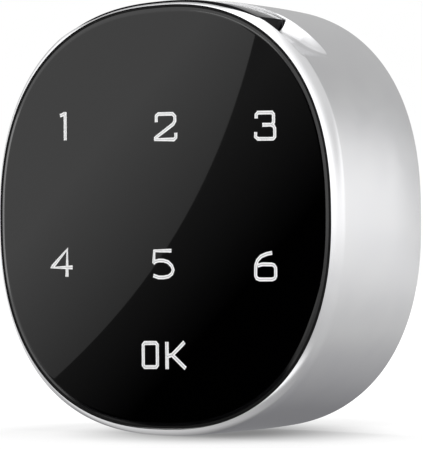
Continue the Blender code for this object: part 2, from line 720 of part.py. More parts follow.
def make_front_shell():
    rings = lip_rings()
    inside = [
        (INNER_HALF, BODY_EXPONENT, REAR_EDGE_Y),
        (INNER_HALF, BODY_EXPONENT, LEDGE_REAR_Y),
        (LEDGE_HALF, BODY_EXPONENT, LEDGE_REAR_Y),
        (LEDGE_HALF, BODY_EXPONENT, LEDGE_Y),
        (POCKET_HALF, BODY_EXPONENT, LEDGE_Y),
    ]
    shell = squircle_sweep("front_shell", rings + inside, closed=True)
    trough = groove_solid("trough", GROOVE_WALL, 0, TROUGH_FRONT_Y, BODY_HALF)
    blank = extruded("shell_blank", [squircle(BODY_HALF - BLANK_INSET, BODY_EXPONENT)],
                     FRONT_Y - OVERRUN, REAR_EDGE_Y)
    combine(trough, blank, "INTERSECT")
    rib_low = -INNER_HALF - EMBED
    rib = box("catch_rib",
              (-CATCH_RIB_HALF, CHASSIS_REAR_Y + GAP, rib_low),
              (CATCH_RIB_HALF, BASE_FRONT_Y - GAP, rib_low + EMBED + CATCH_RIB_HEIGHT))
    join(shell, trough, rib)
    cut(shell, groove_solid("groove", 0, 0, GROOVE_FRONT_Y, BODY_HALF + OVERRUN))
    for index, x in enumerate(hook_places()):
        half = HOOK_WIDTH / 2 + GAP
        depth = HOOK_THICKNESS / 2 + GAP
        slot = box("hook_slot_%d" % index,
                   (x - half, HOOK_STEM_Y - depth, TROUGH_Z - OVERRUN),
                   (x + half, HOOK_STEM_Y + depth, GROOVE_FLOOR_Z + OVERRUN))
        cut(shell, slot)
    for index, (x, z) in enumerate(board_screw_places()):
        reach = BOARD_SCREW_REACH + GAP
        hole = rod("ledge_hole_%d" % index, BOARD_SCREW_RADIUS + GAP, LEDGE_REAR_Y - reach,
                   LEDGE_REAR_Y + OVERRUN, (x, 0, z), steps=SMALL_ROUND_STEPS)
        cut(shell, hole)
    return finish(shell, SATIN_CHROME)


def make_touch_panel():
    rings = [
        (PANEL_HALF - PANEL_BEVEL_WIDTH, PANEL_EXPONENT, FRONT_Y),
        (PANEL_HALF, PANEL_EXPONENT, FRONT_Y + PANEL_BEVEL_DEPTH),
        (PANEL_HALF, PANEL_EXPONENT, FRONT_Y + PANEL_THICKNESS),
    ]
    return finish(squircle_sweep("touch_panel", rings, closed=False), BLACK_GLASS)


def hook_profile():
    """J shaped hook as (y, z): stem, foot under the bar and nose behind it."""
    half = HOOK_THICKNESS / 2
    return [
        (HOOK_STEM_Y - half, BUTTON_BOTTOM_Z + GROOVE_REAR_RISE),
        (HOOK_STEM_Y - half, HOOK_FOOT_LOW_Z),
        (HOOK_NOSE_REAR_Y - half, HOOK_FOOT_LOW_Z),
        (HOOK_NOSE_REAR_Y, HOOK_FOOT_LOW_Z + half),
        (HOOK_NOSE_REAR_Y, BAR_LOW_Z + HOOK_CATCH - half),
        (HOOK_NOSE_REAR_Y - half, BAR_LOW_Z + HOOK_CATCH),
        (HOOK_NOSE_FRONT_Y, BAR_LOW_Z + HOOK_CATCH),
        (HOOK_NOSE_FRONT_Y, HOOK_FOOT_TOP_Z),
        (HOOK_STEM_Y + half, HOOK_FOOT_TOP_Z),
        (HOOK_STEM_Y + half, BUTTON_BOTTOM_Z + GROOVE_REAR_RISE),
    ]


def make_release_button():
    button = groove_solid("release_button", -GAP, BUTTON_TRAVEL, GROOVE_FRONT_Y + GAP,
                          BUTTON_HALF_LENGTH)
    blank = extruded("button_blank", [squircle(BODY_HALF - BUTTON_DROP, BODY_EXPONENT)],
                     FRONT_Y, REAR_EDGE_Y)
    combine(button, blank, "INTERSECT")
    for index, x in enumerate((-BUTTON_SPRING_X, BUTTON_SPRING_X)):
        pocket = rod("spring_pocket_%d" % index, BUTTON_POCKET_RADIUS, BUTTON_BOTTOM_Z - OVERRUN,
                     BUTTON_BOTTOM_Z + BUTTON_POCKET_DEPTH, (x, BUTTON_SPRING_Y, 0), "Z", SMALL_ROUND_STEPS)
        cut(button, pocket)
    for index, x in enumerate(hook_places()):
        half = HOOK_WIDTH / 2
        join(button, extruded("hook_%d" % index, [hook_profile()], x - half, x + half, "X"))
    return finish(button, BLACK_GLOSS)


def make_button_springs():
    """Two springs between the groove's floor and the button's pockets."""
    low = GROOVE_FLOOR_Z + BUTTON_SPRING_SEAT
    high = BUTTON_BOTTOM_Z + BUTTON_POCKET_DEPTH - GAP
    for name, x in (("left", -BUTTON_SPRING_X), ("right", BUTTON_SPRING_X)):
        coil("button_spring_" + name, BUTTON_SPRING_RADIUS, BUTTON_SPRING_WIRE, BUTTON_SPRING_TURNS,
             low, high, (x, BUTTON_SPRING_Y, 0), "Z")


# Light guide, board and what it carries


def key_places():
    """Key names with their centres on the glass."""
    keys = []
    for row, z in enumerate((KEY_UPPER_ROW, KEY_LOWER_ROW)):
        for column, x in enumerate(KEY_COLUMNS):
            keys.append((str(1 + column + len(KEY_COLUMNS) * row), x, z))
    keys.append(("ok", KEY_SHIFT, KEY_OK_ROW))
    return keys


def make_light_guide():
    guide = extruded("light_guide", [squircle(GUIDE_HALF, BODY_EXPONENT, BOARD_TOP_Z)],
                     LEDGE_Y, LEDGE_REAR_Y)
    half = LED_SIZE / 2 + GAP
    for name, x, z in key_places():
        pocket = box("led_pocket_" + name,
                     (x - half, LED_FRONT_Y - GAP, z - half),
                     (x + half, LEDGE_REAR_Y + OVERRUN, z + half))
        cut(guide, pocket)
    return finish(guide, OPAL_PLASTIC)


def make_leds():
    half = LED_SIZE / 2
    for name, x, z in key_places():
        led = box("led_" + name,
                  (x - half, LED_FRONT_Y, z - half),
                  (x + half, LED_FRONT_Y + LED_HEIGHT, z + half))
        finish(led, LED_WHITE)


def make_touch_board():
    loops = [squircle(BOARD_HALF, BODY_EXPONENT, BOARD_TOP_Z)]
    for x, z in board_screw_places():
        loops.append(circle(x, z, BOARD_SCREW_RADIUS + GAP, SMALL_ROUND_STEPS))
    finish(extruded("touch_board", loops, BOARD_FRONT_Y, BOARD_REAR_Y), BOARD_GREEN)
    for index, (x, z) in enumerate(board_screw_places()):
        screw("board_screw_%d" % (index + 1), x, z,
              BOARD_REAR_Y + GAP + BOARD_SCREW_HEAD_HEIGHT, LEDGE_REAR_Y - BOARD_SCREW_REACH,
              BOARD_SCREW_HEAD_RADIUS, BOARD_SCREW_HEAD_HEIGHT, BOARD_SCREW_RADIUS)
    half = CHIP_SIZE / 2
    chip_y = BOARD_REAR_Y + GAP
    chip = box("controller_chip", (CHIP_X - half, chip_y, BOARD_PART_Z - half),
               (CHIP_X + half, chip_y + CHIP_HEIGHT, BOARD_PART_Z + half))
    finish(chip, BLACK_PLASTIC)
    rear = chip_y + BUZZER_HEIGHT
    buzzer = turned("buzzer", [
        (0, rear - BUZZER_HOLE_DEPTH),
        (BUZZER_HOLE_RADIUS, rear - BUZZER_HOLE_DEPTH),
        (BUZZER_HOLE_RADIUS, rear),
        (BUZZER_RADIUS, rear),
        (BUZZER_RADIUS, chip_y),
        (0, chip_y),
    ], (BUZZER_X, 0, BOARD_PART_Z))
    finish(buzzer, BLACK_PLASTIC)


# Gear train


def at(origin, distance, angle):
    """Point in the front view at a distance and angle from another."""
    return origin[0] + distance * math.cos(angle), origin[1] + distance * math.sin(angle)


def centre_distance(first_teeth, second_teeth):
    return MODULE * (first_teeth + second_teeth) / 2


OUTPUT_AXIS = (0, 0)
IDLER_2_AXIS = at(OUTPUT_AXIS, centre_distance(OUTPUT_TEETH, PINION_TEETH), IDLER_2_ANGLE)
IDLER_1_AXIS = at(IDLER_2_AXIS, centre_distance(IDLER_LARGE_TEETH_2, PINION_TEETH), IDLER_1_ANGLE)
MOTOR_AXIS = at(IDLER_1_AXIS, centre_distance(IDLER_LARGE_TEETH_1, PINION_TEETH), MOTOR_ANGLE)
IDLER_2_SMALL_PHASE = meshing_phase(PINION_TEETH, OUTPUT_TEETH, 0, IDLER_2_ANGLE)
IDLER_1_SMALL_PHASE = meshing_phase(PINION_TEETH, IDLER_LARGE_TEETH_2, 0, IDLER_1_ANGLE)
PINION_PHASE = meshing_phase(PINION_TEETH, IDLER_LARGE_TEETH_1, 0, MOTOR_ANGLE)


def stop_slot():
    """Arc slot in the output gear, which lets the stop pin travel through the cam's swing."""
    half = STOP_PIN_RADIUS + GAP
    start = -math.pi / 2
    end = start + CAM_SWING
    around = 12
    return (
        arc(0, 0, STOP_RADIUS + half, start, end, around)
        + arc(*at((0, 0), STOP_RADIUS, end), half, end, end + math.pi, CORNER_POINTS)[1:]
        + arc(0, 0, STOP_RADIUS - half, end, start, around)[1:]
        + arc(*at((0, 0), STOP_RADIUS, start), half, start + math.pi, start + 2 * math.pi,
              CORNER_POINTS)[1:-1]
    )


def make_output_gear():
    loops = [gear_outline(OUTPUT_TEETH, 0), square(SPINDLE_GEAR_SQUARE / 2 + GAP), stop_slot()]
    return finish(extruded("output_gear", loops, GEAR_B_FRONT_Y, GEAR_B_REAR_Y), WHITE_PLASTIC)


def make_compound(name, axis, large_teeth, large_span, small_phase, small_span):
    """Large and small gear on one hub; the bore is a little wider through the small gear."""
    bore = IDLER_PIN_RADIUS + GAP
    large_loops = [gear_outline(large_teeth, 0), circle(0, 0, bore, SMALL_ROUND_STEPS)]
    gear = extruded(name, large_loops, *large_span, centre=axis)
    small_low, small_high = small_span
    if small_low < large_span[0]:
        small_high = large_span[0] + GEAR_FACE / 2
    else:
        small_low = large_span[1] - GEAR_FACE / 2
    small_loops = [gear_outline(PINION_TEETH, small_phase),
                   circle(0, 0, bore + BORE_RELIEF, SMALL_ROUND_STEPS)]
    join(gear, extruded(name + "_small", small_loops, small_low, small_high, centre=axis))
    return finish(gear, WHITE_PLASTIC)


def make_idler_pin(name, axis):
    head_rear = CHASSIS_FRONT_Y - GAP
    rear = BASE_FRONT_Y + IDLER_PIN_SEAT
    pin = turned(name, [
        (0, rear),
        (IDLER_PIN_RADIUS, rear),
        (IDLER_PIN_RADIUS, head_rear),
        (IDLER_PIN_HEAD_RADIUS, head_rear),
        (IDLER_PIN_HEAD_RADIUS, head_rear - IDLER_PIN_HEAD),
        (0, head_rear - IDLER_PIN_HEAD),
    ], (axis[0], 0, axis[1]), steps=SMALL_ROUND_STEPS)
    return finish(pin, STEEL)


def make_pinion():
    loops = [gear_outline(PINION_TEETH, PINION_PHASE),
             circle(0, 0, MOTOR_SHAFT_RADIUS + GAP, SMALL_ROUND_STEPS)]
    return finish(extruded("motor_pinion", loops, GEAR_B_FRONT_Y, GEAR_B_REAR_Y, centre=MOTOR_AXIS), BRASS)


MOTOR_REAR_Y = CHASSIS_FRONT_Y - GAP
MOTOR_FRONT_Y = MOTOR_REAR_Y - MOTOR_LENGTH


def make_motor():
    outline = flatted_circle(0, 0, MOTOR_RADIUS, MOTOR_FLAT_HALF)
    can = extruded("motor_can", [outline], MOTOR_FRONT_Y, MOTOR_REAR_Y, centre=MOTOR_AXIS)
    hole = rod("shaft_hole", MOTOR_SHAFT_RADIUS + GAP, MOTOR_REAR_Y - MOTOR_SHAFT_IN_CAN - GAP,
               MOTOR_REAR_Y + OVERRUN, (MOTOR_AXIS[0], 0, MOTOR_AXIS[1]), steps=SMALL_ROUND_STEPS)
    cut(can, hole)
    finish(can, STEEL)
    cap_outline = flatted_circle(0, 0, MOTOR_RADIUS - GAP, MOTOR_FLAT_HALF - GAP)
    cap = extruded("motor_cap", [cap_outline], MOTOR_FRONT_Y - GAP - MOTOR_CAP_LENGTH,
                   MOTOR_FRONT_Y - GAP, centre=MOTOR_AXIS)
    finish(cap, WHITE_PLASTIC)
    shaft = rod("motor_shaft", MOTOR_SHAFT_RADIUS, MOTOR_REAR_Y - MOTOR_SHAFT_IN_CAN,
                GEAR_B_REAR_Y, (MOTOR_AXIS[0], 0, MOTOR_AXIS[1]), steps=SMALL_ROUND_STEPS)
    return finish(shaft, STEEL)


def make_spindle():
    """Spindle with a pivot, a square for the gear, a collar, the body and a square for the cam."""
    collar_rear = BASE_FRONT_Y - GAP
    body_end = BARREL_END_Y - GAP
    end = CAM_REAR_Y - GAP
    half_face = GEAR_FACE / 2
    spindle = turned("spindle", [
        (0, body_end),
        (SPINDLE_RADIUS, body_end),
        (SPINDLE_RADIUS, collar_rear),
        (SPINDLE_COLLAR_RADIUS, collar_rear),
        (SPINDLE_COLLAR_RADIUS, GEAR_B_REAR_Y + GAP),
        (SPINDLE_PIVOT_RADIUS, GEAR_B_REAR_Y + GAP),
        (SPINDLE_PIVOT_RADIUS, CHASSIS_FRONT_Y),
        (0, CHASSIS_FRONT_Y),
    ])
    gear_square = extruded("gear_square", [square(SPINDLE_GEAR_SQUARE / 2)],
                           GEAR_B_FRONT_Y, GEAR_B_REAR_Y + GAP + half_face)
    cam_square = extruded("cam_square", [square(SPINDLE_CAM_SQUARE / 2)], body_end - OVERRUN, end)
    join(spindle, gear_square, cam_square)
    bore = rod("cam_screw_hole", CAM_SCREW_RADIUS + GAP, end - SPINDLE_BORE_DEPTH, end + OVERRUN,
               steps=SMALL_ROUND_STEPS)
    cut(spindle, bore)
    return finish(spindle, ZINC)


# Door side


def post_places():
    return ((POST_X, POST_X), (-POST_X, POST_X), (-POST_X, -POST_X), (POST_X, -POST_X))


def make_base_plate():
    loops = [
        squircle(PLATE_HALF, BODY_EXPONENT),
        circle(0, 0, BARREL_RADIUS),
        circle(*IDLER_1_AXIS, IDLER_PIN_RADIUS + GAP, SMALL_ROUND_STEPS),
        circle(*IDLER_2_AXIS, IDLER_PIN_RADIUS + GAP, SMALL_ROUND_STEPS),
    ]
    for x, z in post_places():
        loops.append(circle(x, z, SCREW_RADIUS + GAP, SMALL_ROUND_STEPS))
    plate = extruded("base_plate", loops, BASE_FRONT_Y, BASE_REAR_Y)
    for index, (x, z) in enumerate(post_places()):
        recess = rod("screw_recess_%d" % index, SCREW_HEAD_RADIUS + GAP, BASE_REAR_Y - SCREW_SEAT,
                     BASE_REAR_Y + OVERRUN, (x, 0, z), steps=SMALL_ROUND_STEPS)
        cut(plate, recess)
    finish(plate, STEEL)
    for index, (x, z) in enumerate(post_places()):
        screw("chassis_screw_%d" % (index + 1), x, z, BASE_REAR_Y,
              CHASSIS_FRONT_Y - POST_FORWARD + 2 * GAP, SCREW_HEAD_RADIUS, SCREW_HEAD, SCREW_RADIUS)
    gasket = extruded("foam_gasket", [
        squircle(GASKET_HALF, BODY_EXPONENT),
        circle(0, 0, FLANGE_RADIUS + GAP),
    ], -GASKET_THICKNESS, 0)
    return finish(gasket, FOAM)


def make_barrel():
    """Flanged tube with two flats; its short spigot is staked in the base plate."""
    spigot = BARREL_RADIUS - GAP
    barrel = turned("barrel", [
        (0, BARREL_END_Y),
        (BARREL_RADIUS, BARREL_END_Y),
        (BARREL_RADIUS, 0),
        (FLANGE_RADIUS, 0),
        (FLANGE_RADIUS, -GASKET_THICKNESS),
        (spigot, -GASKET_THICKNESS),
        (spigot, BASE_FRONT_Y),
        (0, BASE_FRONT_Y),
    ], steps=2 * ROUND_STEPS)
    for name, side in (("left", -1), ("right", 1)):
        near = side * BARREL_FLATS_HALF
        far = side * (BARREL_RADIUS + OVERRUN)
        flat = box("barrel_flat_" + name,
                   (min(near, far), -BARREL_UNDERCUT, -BARREL_RADIUS),
                   (max(near, far), BARREL_END_Y + OVERRUN, BARREL_RADIUS))
        cut(barrel, flat)
    bore = rod("barrel_bore", SPINDLE_RADIUS + GAP, BASE_FRONT_Y - OVERRUN, BARREL_END_Y + OVERRUN)
    seat = rod("stop_pin_seat", STOP_PIN_RADIUS + GAP, BASE_FRONT_Y - OVERRUN,
               BASE_FRONT_Y + STOP_PIN_SEAT + GAP, (0, 0, -STOP_RADIUS), steps=SMALL_ROUND_STEPS)
    cut(barrel, bore, seat)
    pin = rod("stop_pin", STOP_PIN_RADIUS, GEAR_B_FRONT_Y, BASE_FRONT_Y + STOP_PIN_SEAT,
              (0, 0, -STOP_RADIUS), steps=SMALL_ROUND_STEPS)
    finish(pin, STEEL)
    return finish(barrel, ZINC)


def make_clamp():
    """Washer and hexagon nut that clamp the door."""
    bore = BARREL_RADIUS + GAP
    washer = tube("barrel_washer", WASHER_RADIUS, bore, DOOR_THICKNESS + GAP,
                  DOOR_THICKNESS + GAP + WASHER_THICKNESS, steps=2 * ROUND_STEPS)
    finish(washer, STEEL)
    low = DOOR_THICKNESS + 2 * GAP + WASHER_THICKNESS
    high = low + NUT_THICKNESS
    corner = NUT_ACROSS_FLATS / math.sqrt(3)
    nut = extruded("hex_nut", [circle(0, 0, corner, 6)], low, high)
    reach = corner - NUT_ACROSS_FLATS / 2
    chamfer = turned("nut_chamfer", [
        (0, high + OVERRUN),
        (corner - reach - OVERRUN, high + OVERRUN),
        (corner + OVERRUN, high - NUT_CHAMFER - OVERRUN),
        (corner + OVERRUN, low - OVERRUN),
        (0, low - OVERRUN),
    ], steps=2 * ROUND_STEPS)
    combine(nut, chamfer, "INTERSECT")
    cut(nut, rod("nut_bore", bore, low - OVERRUN, high + OVERRUN, steps=2 * ROUND_STEPS))
    return finish(nut, STEEL)


def cam_outline():
    """Two circles and their common tangents, from the hub to the tip at -X."""
    lean = math.acos((CAM_HUB_RADIUS - CAM_TIP_RADIUS) / CAM_REACH)
    start = math.pi - lean
    return (
        arc(0, 0, CAM_HUB_RADIUS, math.pi + lean, 3 * math.pi - lean, ROUND_STEPS)
        + arc(-CAM_REACH, 0, CAM_TIP_RADIUS, start, math.pi + lean, ROUND_STEPS // 2)
    )


def make_cam():
    cam = extruded("cam", [cam_outline(), square(SPINDLE_CAM_SQUARE / 2 + GAP)], CAM_FRONT_Y, CAM_REAR_Y)
    finish(cam, STEEL)
    washer_low = CAM_REAR_Y + GAP
    washer_high = washer_low + CAM_WASHER_THICKNESS
    washer = tube("cam_washer", CAM_WASHER_RADIUS, CAM_SCREW_RADIUS + GAP, washer_low, washer_high)
    finish(washer, STEEL)
    head_low = washer_high + GAP
    bolt = screw("cam_screw", 0, 0, head_low + CAM_SCREW_HEAD, CAM_REAR_Y - CAM_SCREW_REACH,
                 CAM_SCREW_HEAD_RADIUS, CAM_SCREW_HEAD, CAM_SCREW_RADIUS)
    return cam, washer, bolt


# Chassis, batteries and small parts


def motor_saddle():
    """Ring round the motor, open along the middle for the can."""
    outer = flatted_circle(0, 0, MOTOR_RADIUS + GAP + CRADLE_WALL, MOTOR_FLAT_HALF + GAP + CRADLE_WALL)
    inner = flatted_circle(0, 0, MOTOR_RADIUS + GAP, MOTOR_FLAT_HALF + GAP)
    return extruded("motor_saddle", [outer, inner], CHASSIS_FRONT_Y - SADDLE_DEPTH,
                    CHASSIS_FRONT_Y + EMBED, centre=MOTOR_AXIS)


def battery_cradle():
    outer = rounded_rectangle(-CRADLE_INNER_HALF - CRADLE_WALL, CRADLE_LOW_Z - CRADLE_WALL,
                              CRADLE_INNER_HALF + CRADLE_WALL, CRADLE_HIGH_Z + CRADLE_WALL,
                              CRADLE_CORNER)
    inner = rounded_rectangle(-CRADLE_INNER_HALF, CRADLE_LOW_Z, CRADLE_INNER_HALF, CRADLE_HIGH_Z,
                              CRADLE_CORNER - CRADLE_WALL)
    return extruded("battery_cradle", [outer, inner], CRADLE_FRONT_Y, CHASSIS_FRONT_Y + EMBED)


def hook_bar():
    """Bar that the button's hooks grip, with four arms back to the chassis plate."""
    half = ARM_THICKNESS / 2
    low_y = BAR_FRONT_Y
    loops = [(-BAR_OUTER_ARM_X - half, low_y), (BAR_OUTER_ARM_X + half, low_y)]
    for x in (BAR_OUTER_ARM_X, BAR_INNER_ARM_X, -BAR_INNER_ARM_X, -BAR_OUTER_ARM_X):
        loops.append((x + half, BAR_REAR_Y if x != BAR_OUTER_ARM_X else CHASSIS_FRONT_Y + EMBED))
        loops.append((x + half, CHASSIS_FRONT_Y + EMBED))
        loops.append((x - half, CHASSIS_FRONT_Y + EMBED))
        loops.append((x - half, BAR_REAR_Y if x != -BAR_OUTER_ARM_X else CHASSIS_FRONT_Y + EMBED))
    cleaned = [point for i, point in enumerate(loops) if point != loops[i - 1]]
    return extruded("hook_bar", [cleaned], BAR_LOW_Z, BAR_TOP_Z, "Z")


def make_chassis():
    loops = [
        squircle(PLATE_HALF, BODY_EXPONENT),
        circle(0, 0, SPINDLE_PIVOT_RADIUS + GAP, SMALL_ROUND_STEPS),
        circle(*MOTOR_AXIS, MOTOR_BOSS_RADIUS, SMALL_ROUND_STEPS),
        circle(*IDLER_1_AXIS, IDLER_PIN_RADIUS + GAP, SMALL_ROUND_STEPS),
        circle(*IDLER_2_AXIS, IDLER_PIN_RADIUS + GAP, SMALL_ROUND_STEPS),
    ]
    chassis = extruded("chassis", loops, CHASSIS_FRONT_Y, CHASSIS_REAR_Y)
    join(chassis, battery_cradle(), motor_saddle(), hook_bar())
    for index, (x, z) in enumerate(post_places()):
        post = rod("post_%d" % index, POST_RADIUS, CHASSIS_FRONT_Y - POST_FORWARD, BASE_FRONT_Y - GAP,
                   (x, 0, z), steps=SMALL_ROUND_STEPS)
        join(chassis, post)
    for index, (x, z) in enumerate(post_places()):
        hole = rod("post_hole_%d" % index, SCREW_RADIUS + GAP, CHASSIS_FRONT_Y - POST_FORWARD + GAP,
                   BASE_FRONT_Y, (x, 0, z), steps=SMALL_ROUND_STEPS)
        cut(chassis, hole)
    return finish(chassis, BLACK_PLASTIC)


def make_cell(name, z, sense):
    """AAA cell along X with its nub towards sense."""
    end = CELL_HALF - NUB_LENGTH
    profile = [
        (0, CELL_HALF),
        (NUB_RADIUS, CELL_HALF),
        (NUB_RADIUS, end),
        (CELL_RADIUS - CELL_EDGE, end),
        (CELL_RADIUS, end - CELL_EDGE),
        (CELL_RADIUS, -CELL_HALF + CELL_EDGE),
        (CELL_RADIUS - CELL_EDGE, -CELL_HALF),
        (0, -CELL_HALF),
    ]
    if sense < 0:
        profile = [(radius, -along) for radius, along in reversed(profile)]
    return finish(turned(name, profile, (sense * CELL_SHIFT, CELL_Y, z), "X"), CELL_WRAP)


def contact_plate(name, side, low_z, high_z):
    near = side * (CONTACT_PLATE_X)
    far = side * (CONTACT_PLATE_X + CONTACT_PLATE)
    plate = box(name, (min(near, far), CELL_Y - CONTACT_HALF_WIDTH, low_z),
                (max(near, far), CELL_Y + CONTACT_HALF_WIDTH, high_z))
    return finish(plate, BRASS)


def make_batteries():
    make_cell("battery_upper", UPPER_CELL_Z, 1)
    make_cell("battery_lower", LOWER_CELL_Z, -1)
    half = CONTACT_HALF_WIDTH
    contact_plate("battery_link_plate", -1, LOWER_CELL_Z - half, UPPER_CELL_Z + half)
    contact_plate("positive_plate", 1, UPPER_CELL_Z - half, UPPER_CELL_Z + half)
    contact_plate("negative_plate", 1, LOWER_CELL_Z - half, LOWER_CELL_Z + half)
    near = CELL_HALF - CELL_SHIFT + GAP
    far = CONTACT_PLATE_X - GAP
    coil("link_spring", CONTACT_SPRING_RADIUS, CONTACT_SPRING_WIRE, CONTACT_SPRING_TURNS,
         -far, -near, (0, CELL_Y, UPPER_CELL_Z), "X")
    coil("negative_spring", CONTACT_SPRING_RADIUS, CONTACT_SPRING_WIRE, CONTACT_SPRING_TURNS,
         near, far, (0, CELL_Y, LOWER_CELL_Z), "X")


def make_contact_block():
    """Block of spring pins that join the board to the chassis."""
    front = BOARD_REAR_Y + GAP + BLOCK_PIN_LENGTH
    block = box("contact_block",
                (-BLOCK_HALF_LENGTH, front, BLOCK_Z - BLOCK_HALF_HEIGHT),
                (BLOCK_HALF_LENGTH, CHASSIS_FRONT_Y - GAP, BLOCK_Z + BLOCK_HALF_HEIGHT))
    first = -BLOCK_PIN_PITCH * (BLOCK_PINS - 1) / 2
    for index in range(BLOCK_PINS):
        x = first + BLOCK_PIN_PITCH * index
        join(block, rod("block_pin_%d" % index, BLOCK_PIN_RADIUS, BOARD_REAR_Y + GAP,
                        front + BLOCK_PIN_RADIUS, (x, 0, BLOCK_Z), steps=SMALL_ROUND_STEPS))
    return finish(block, BLACK_PLASTIC)


def make_position_switch():
    top = -centre_distance(OUTPUT_TEETH, 0) - MODULE - GAP
    rear = BASE_FRONT_Y - GAP
    switch = box("position_switch", (-SWITCH_HALF_LENGTH, rear - SWITCH_DEPTH, top - SWITCH_HEIGHT),
                 (SWITCH_HALF_LENGTH, rear, top))
    return finish(switch, BLACK_PLASTIC)


def make_lock():
    make_front_shell()
    make_touch_panel()
    button = make_release_button()
    make_button_springs()
    make_light_guide()
    make_leds()
    make_touch_board()
    make_chassis()
    make_batteries()
    make_contact_block()
    make_position_switch()
    make_base_plate()
    make_barrel()
    make_clamp()
    make_idler_pin("idler_pin_1", IDLER_1_AXIS)
    make_idler_pin("idler_pin_2", IDLER_2_AXIS)
    shaft = make_motor()
    pinion = make_pinion()
    level_a = (GEAR_A_FRONT_Y, GEAR_A_REAR_Y)
    level_b = (GEAR_B_FRONT_Y, GEAR_B_REAR_Y)
    idler_1 = make_compound("idler_gear_1", IDLER_1_AXIS, IDLER_LARGE_TEETH_1, level_b,
                            IDLER_1_SMALL_PHASE, level_a)
    idler_2 = make_compound("idler_gear_2", IDLER_2_AXIS, IDLER_LARGE_TEETH_2, level_a,
                            IDLER_2_SMALL_PHASE, level_b)
    carry(pivot("cam_axis", 0, 0), make_spindle(), make_output_gear(), *make_cam())
    carry(pivot("idler_axis_1", *IDLER_1_AXIS), idler_1)
    carry(pivot("idler_axis_2", *IDLER_2_AXIS), idler_2)
    carry(pivot("motor_axis", *MOTOR_AXIS), shaft, pinion)
    carry(pivot("button_axis", 0, GROOVE_FLOOR_Z), button)


make_lock()
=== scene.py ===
"""Electronic cabinet lock: satin chrome body, black glass keypad, push button in the top groove.

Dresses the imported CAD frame. Sizes and places are in millimetres and turned into metres by MM.
The floor's shading, the lamp and the camera are in metres. The door's outer face is y = 0, the
user stands at -y, and z is up.
"""
import bpy
import math
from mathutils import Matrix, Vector


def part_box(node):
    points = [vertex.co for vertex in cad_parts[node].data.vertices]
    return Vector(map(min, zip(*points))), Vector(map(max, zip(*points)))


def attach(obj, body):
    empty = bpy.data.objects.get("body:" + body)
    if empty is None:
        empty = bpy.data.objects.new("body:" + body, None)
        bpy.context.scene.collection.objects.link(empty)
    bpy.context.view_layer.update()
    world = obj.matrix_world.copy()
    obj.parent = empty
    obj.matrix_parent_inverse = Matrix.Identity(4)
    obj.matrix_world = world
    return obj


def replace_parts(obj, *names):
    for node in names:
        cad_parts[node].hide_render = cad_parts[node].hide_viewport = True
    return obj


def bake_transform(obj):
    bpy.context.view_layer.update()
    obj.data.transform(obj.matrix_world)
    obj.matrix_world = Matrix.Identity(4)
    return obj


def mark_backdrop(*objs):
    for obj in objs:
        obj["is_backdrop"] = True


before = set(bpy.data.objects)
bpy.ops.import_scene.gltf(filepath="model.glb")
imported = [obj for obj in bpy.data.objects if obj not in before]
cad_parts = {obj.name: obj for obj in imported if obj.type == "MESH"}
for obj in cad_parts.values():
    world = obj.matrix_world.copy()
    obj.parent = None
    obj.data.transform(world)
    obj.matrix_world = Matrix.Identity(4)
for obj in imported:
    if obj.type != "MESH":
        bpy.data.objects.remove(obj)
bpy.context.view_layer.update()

MM = 0.001
EDGE_STEP = 0.01  # rings lie this close to each side of a sharp edge
HAIR = 0.0005  # tells the panel's faces apart by their depth

# Body and lip
BODY_EXPONENT = 2.41
BODY_HALF = 32.1
FRONT_Y = -22.0
LIP_INNER_HALF = 31.04
LIP_EXPONENT = 2.344
LIP_BLEND = 1.2
LIP_START = math.radians(25)
LIP_DEPTH = 2.0
OPENING_EASE = 0.1
OPENING_EASE_ANGLE = math.radians(-45)
POCKET_HALF = 31.0
POCKET_Y = -21.3
POCKET_MOUTH_Y = -21.9
LEDGE_HALF = 26.3
LEDGE_MIDDLE_Y = -20.2
LEDGE_REAR_Y = -19.4
LEDGE_DROP = 0.4
WALL_INNER_HALF = 30.2
WALL_MIDDLE_Y = -6.0
BODY_RINGS = [-13.6, -12.0, -10.0, -8.5]
DRAW_START_Y = -7.5
DRAW_RINGS = [-6.5, -5.5, -4.5, -3.5, -2.6, -1.8, -1.1, -0.6]
REAR_HALF = 31.95
REAR_Y = -0.3

# Groove in the top, where a pair is the stretch of x over which a form fades
GROOVE_LEVEL = 15.0
GROOVE_WALL_Y = -21.08
GROOVE_REAR_Y = -14.21
GROOVE_FLOOR_Z = 22.1
GROOVE_CORNER = 0.6
GROOVE_FILLET = 0.25
FILLET_FADE = (16.5, 19.5)
GROOVE_RIM = 0.2
GROOVE_RIM_RINGS = [0.01, 0.07, 0.13, 0.19, 0.25]
RIM_LEAST_SHARE = 0.15
RIM_RISE = (15.0, 17.5)
RIM_FALL = (23.6, 25.6)
RIM_END = (25.2, 25.8)
POCKET_END_X = 18.0
SCOOP_END_X = 25.75
SCOOP_DEPTH = 2.1
SCOOP_FALL = 1.15
SCOOP_FRONT_BLEND = 0.8
SCOOP_TAPER = 2.2
SCOOP_TAPER_GAIN = 1.6
SCOOP_STEP = 0.45
SCOOP_STEP_END_X = 21.6
LIP_KEEP = 0.5
LIP_KEEP_FADE = (11.0, 19.5)
TROUGH_Z = 20.9
TROUGH_REAR_Y = -13.01

# Touch panel
PANEL_EXPONENT = 2.344
PANEL_FLAT_HALF = 30.12
PANEL_STRIP_HALF = 30.62
PANEL_STRIP_Y = -21.9
PANEL_HALF = 30.97
PANEL_REAR_Y = -21.32
PANEL_STATIONS = [(29.5, FRONT_Y), (29.9, FRONT_Y), (PANEL_FLAT_HALF, FRONT_Y), (30.22, -21.987),
                  (30.3, -21.971), (PANEL_STRIP_HALF, PANEL_STRIP_Y), (30.74, -21.898),
                  (30.93, -21.88), (PANEL_HALF, -21.84), (PANEL_HALF, PANEL_REAR_Y),
                  (30.4, PANEL_REAR_Y)]

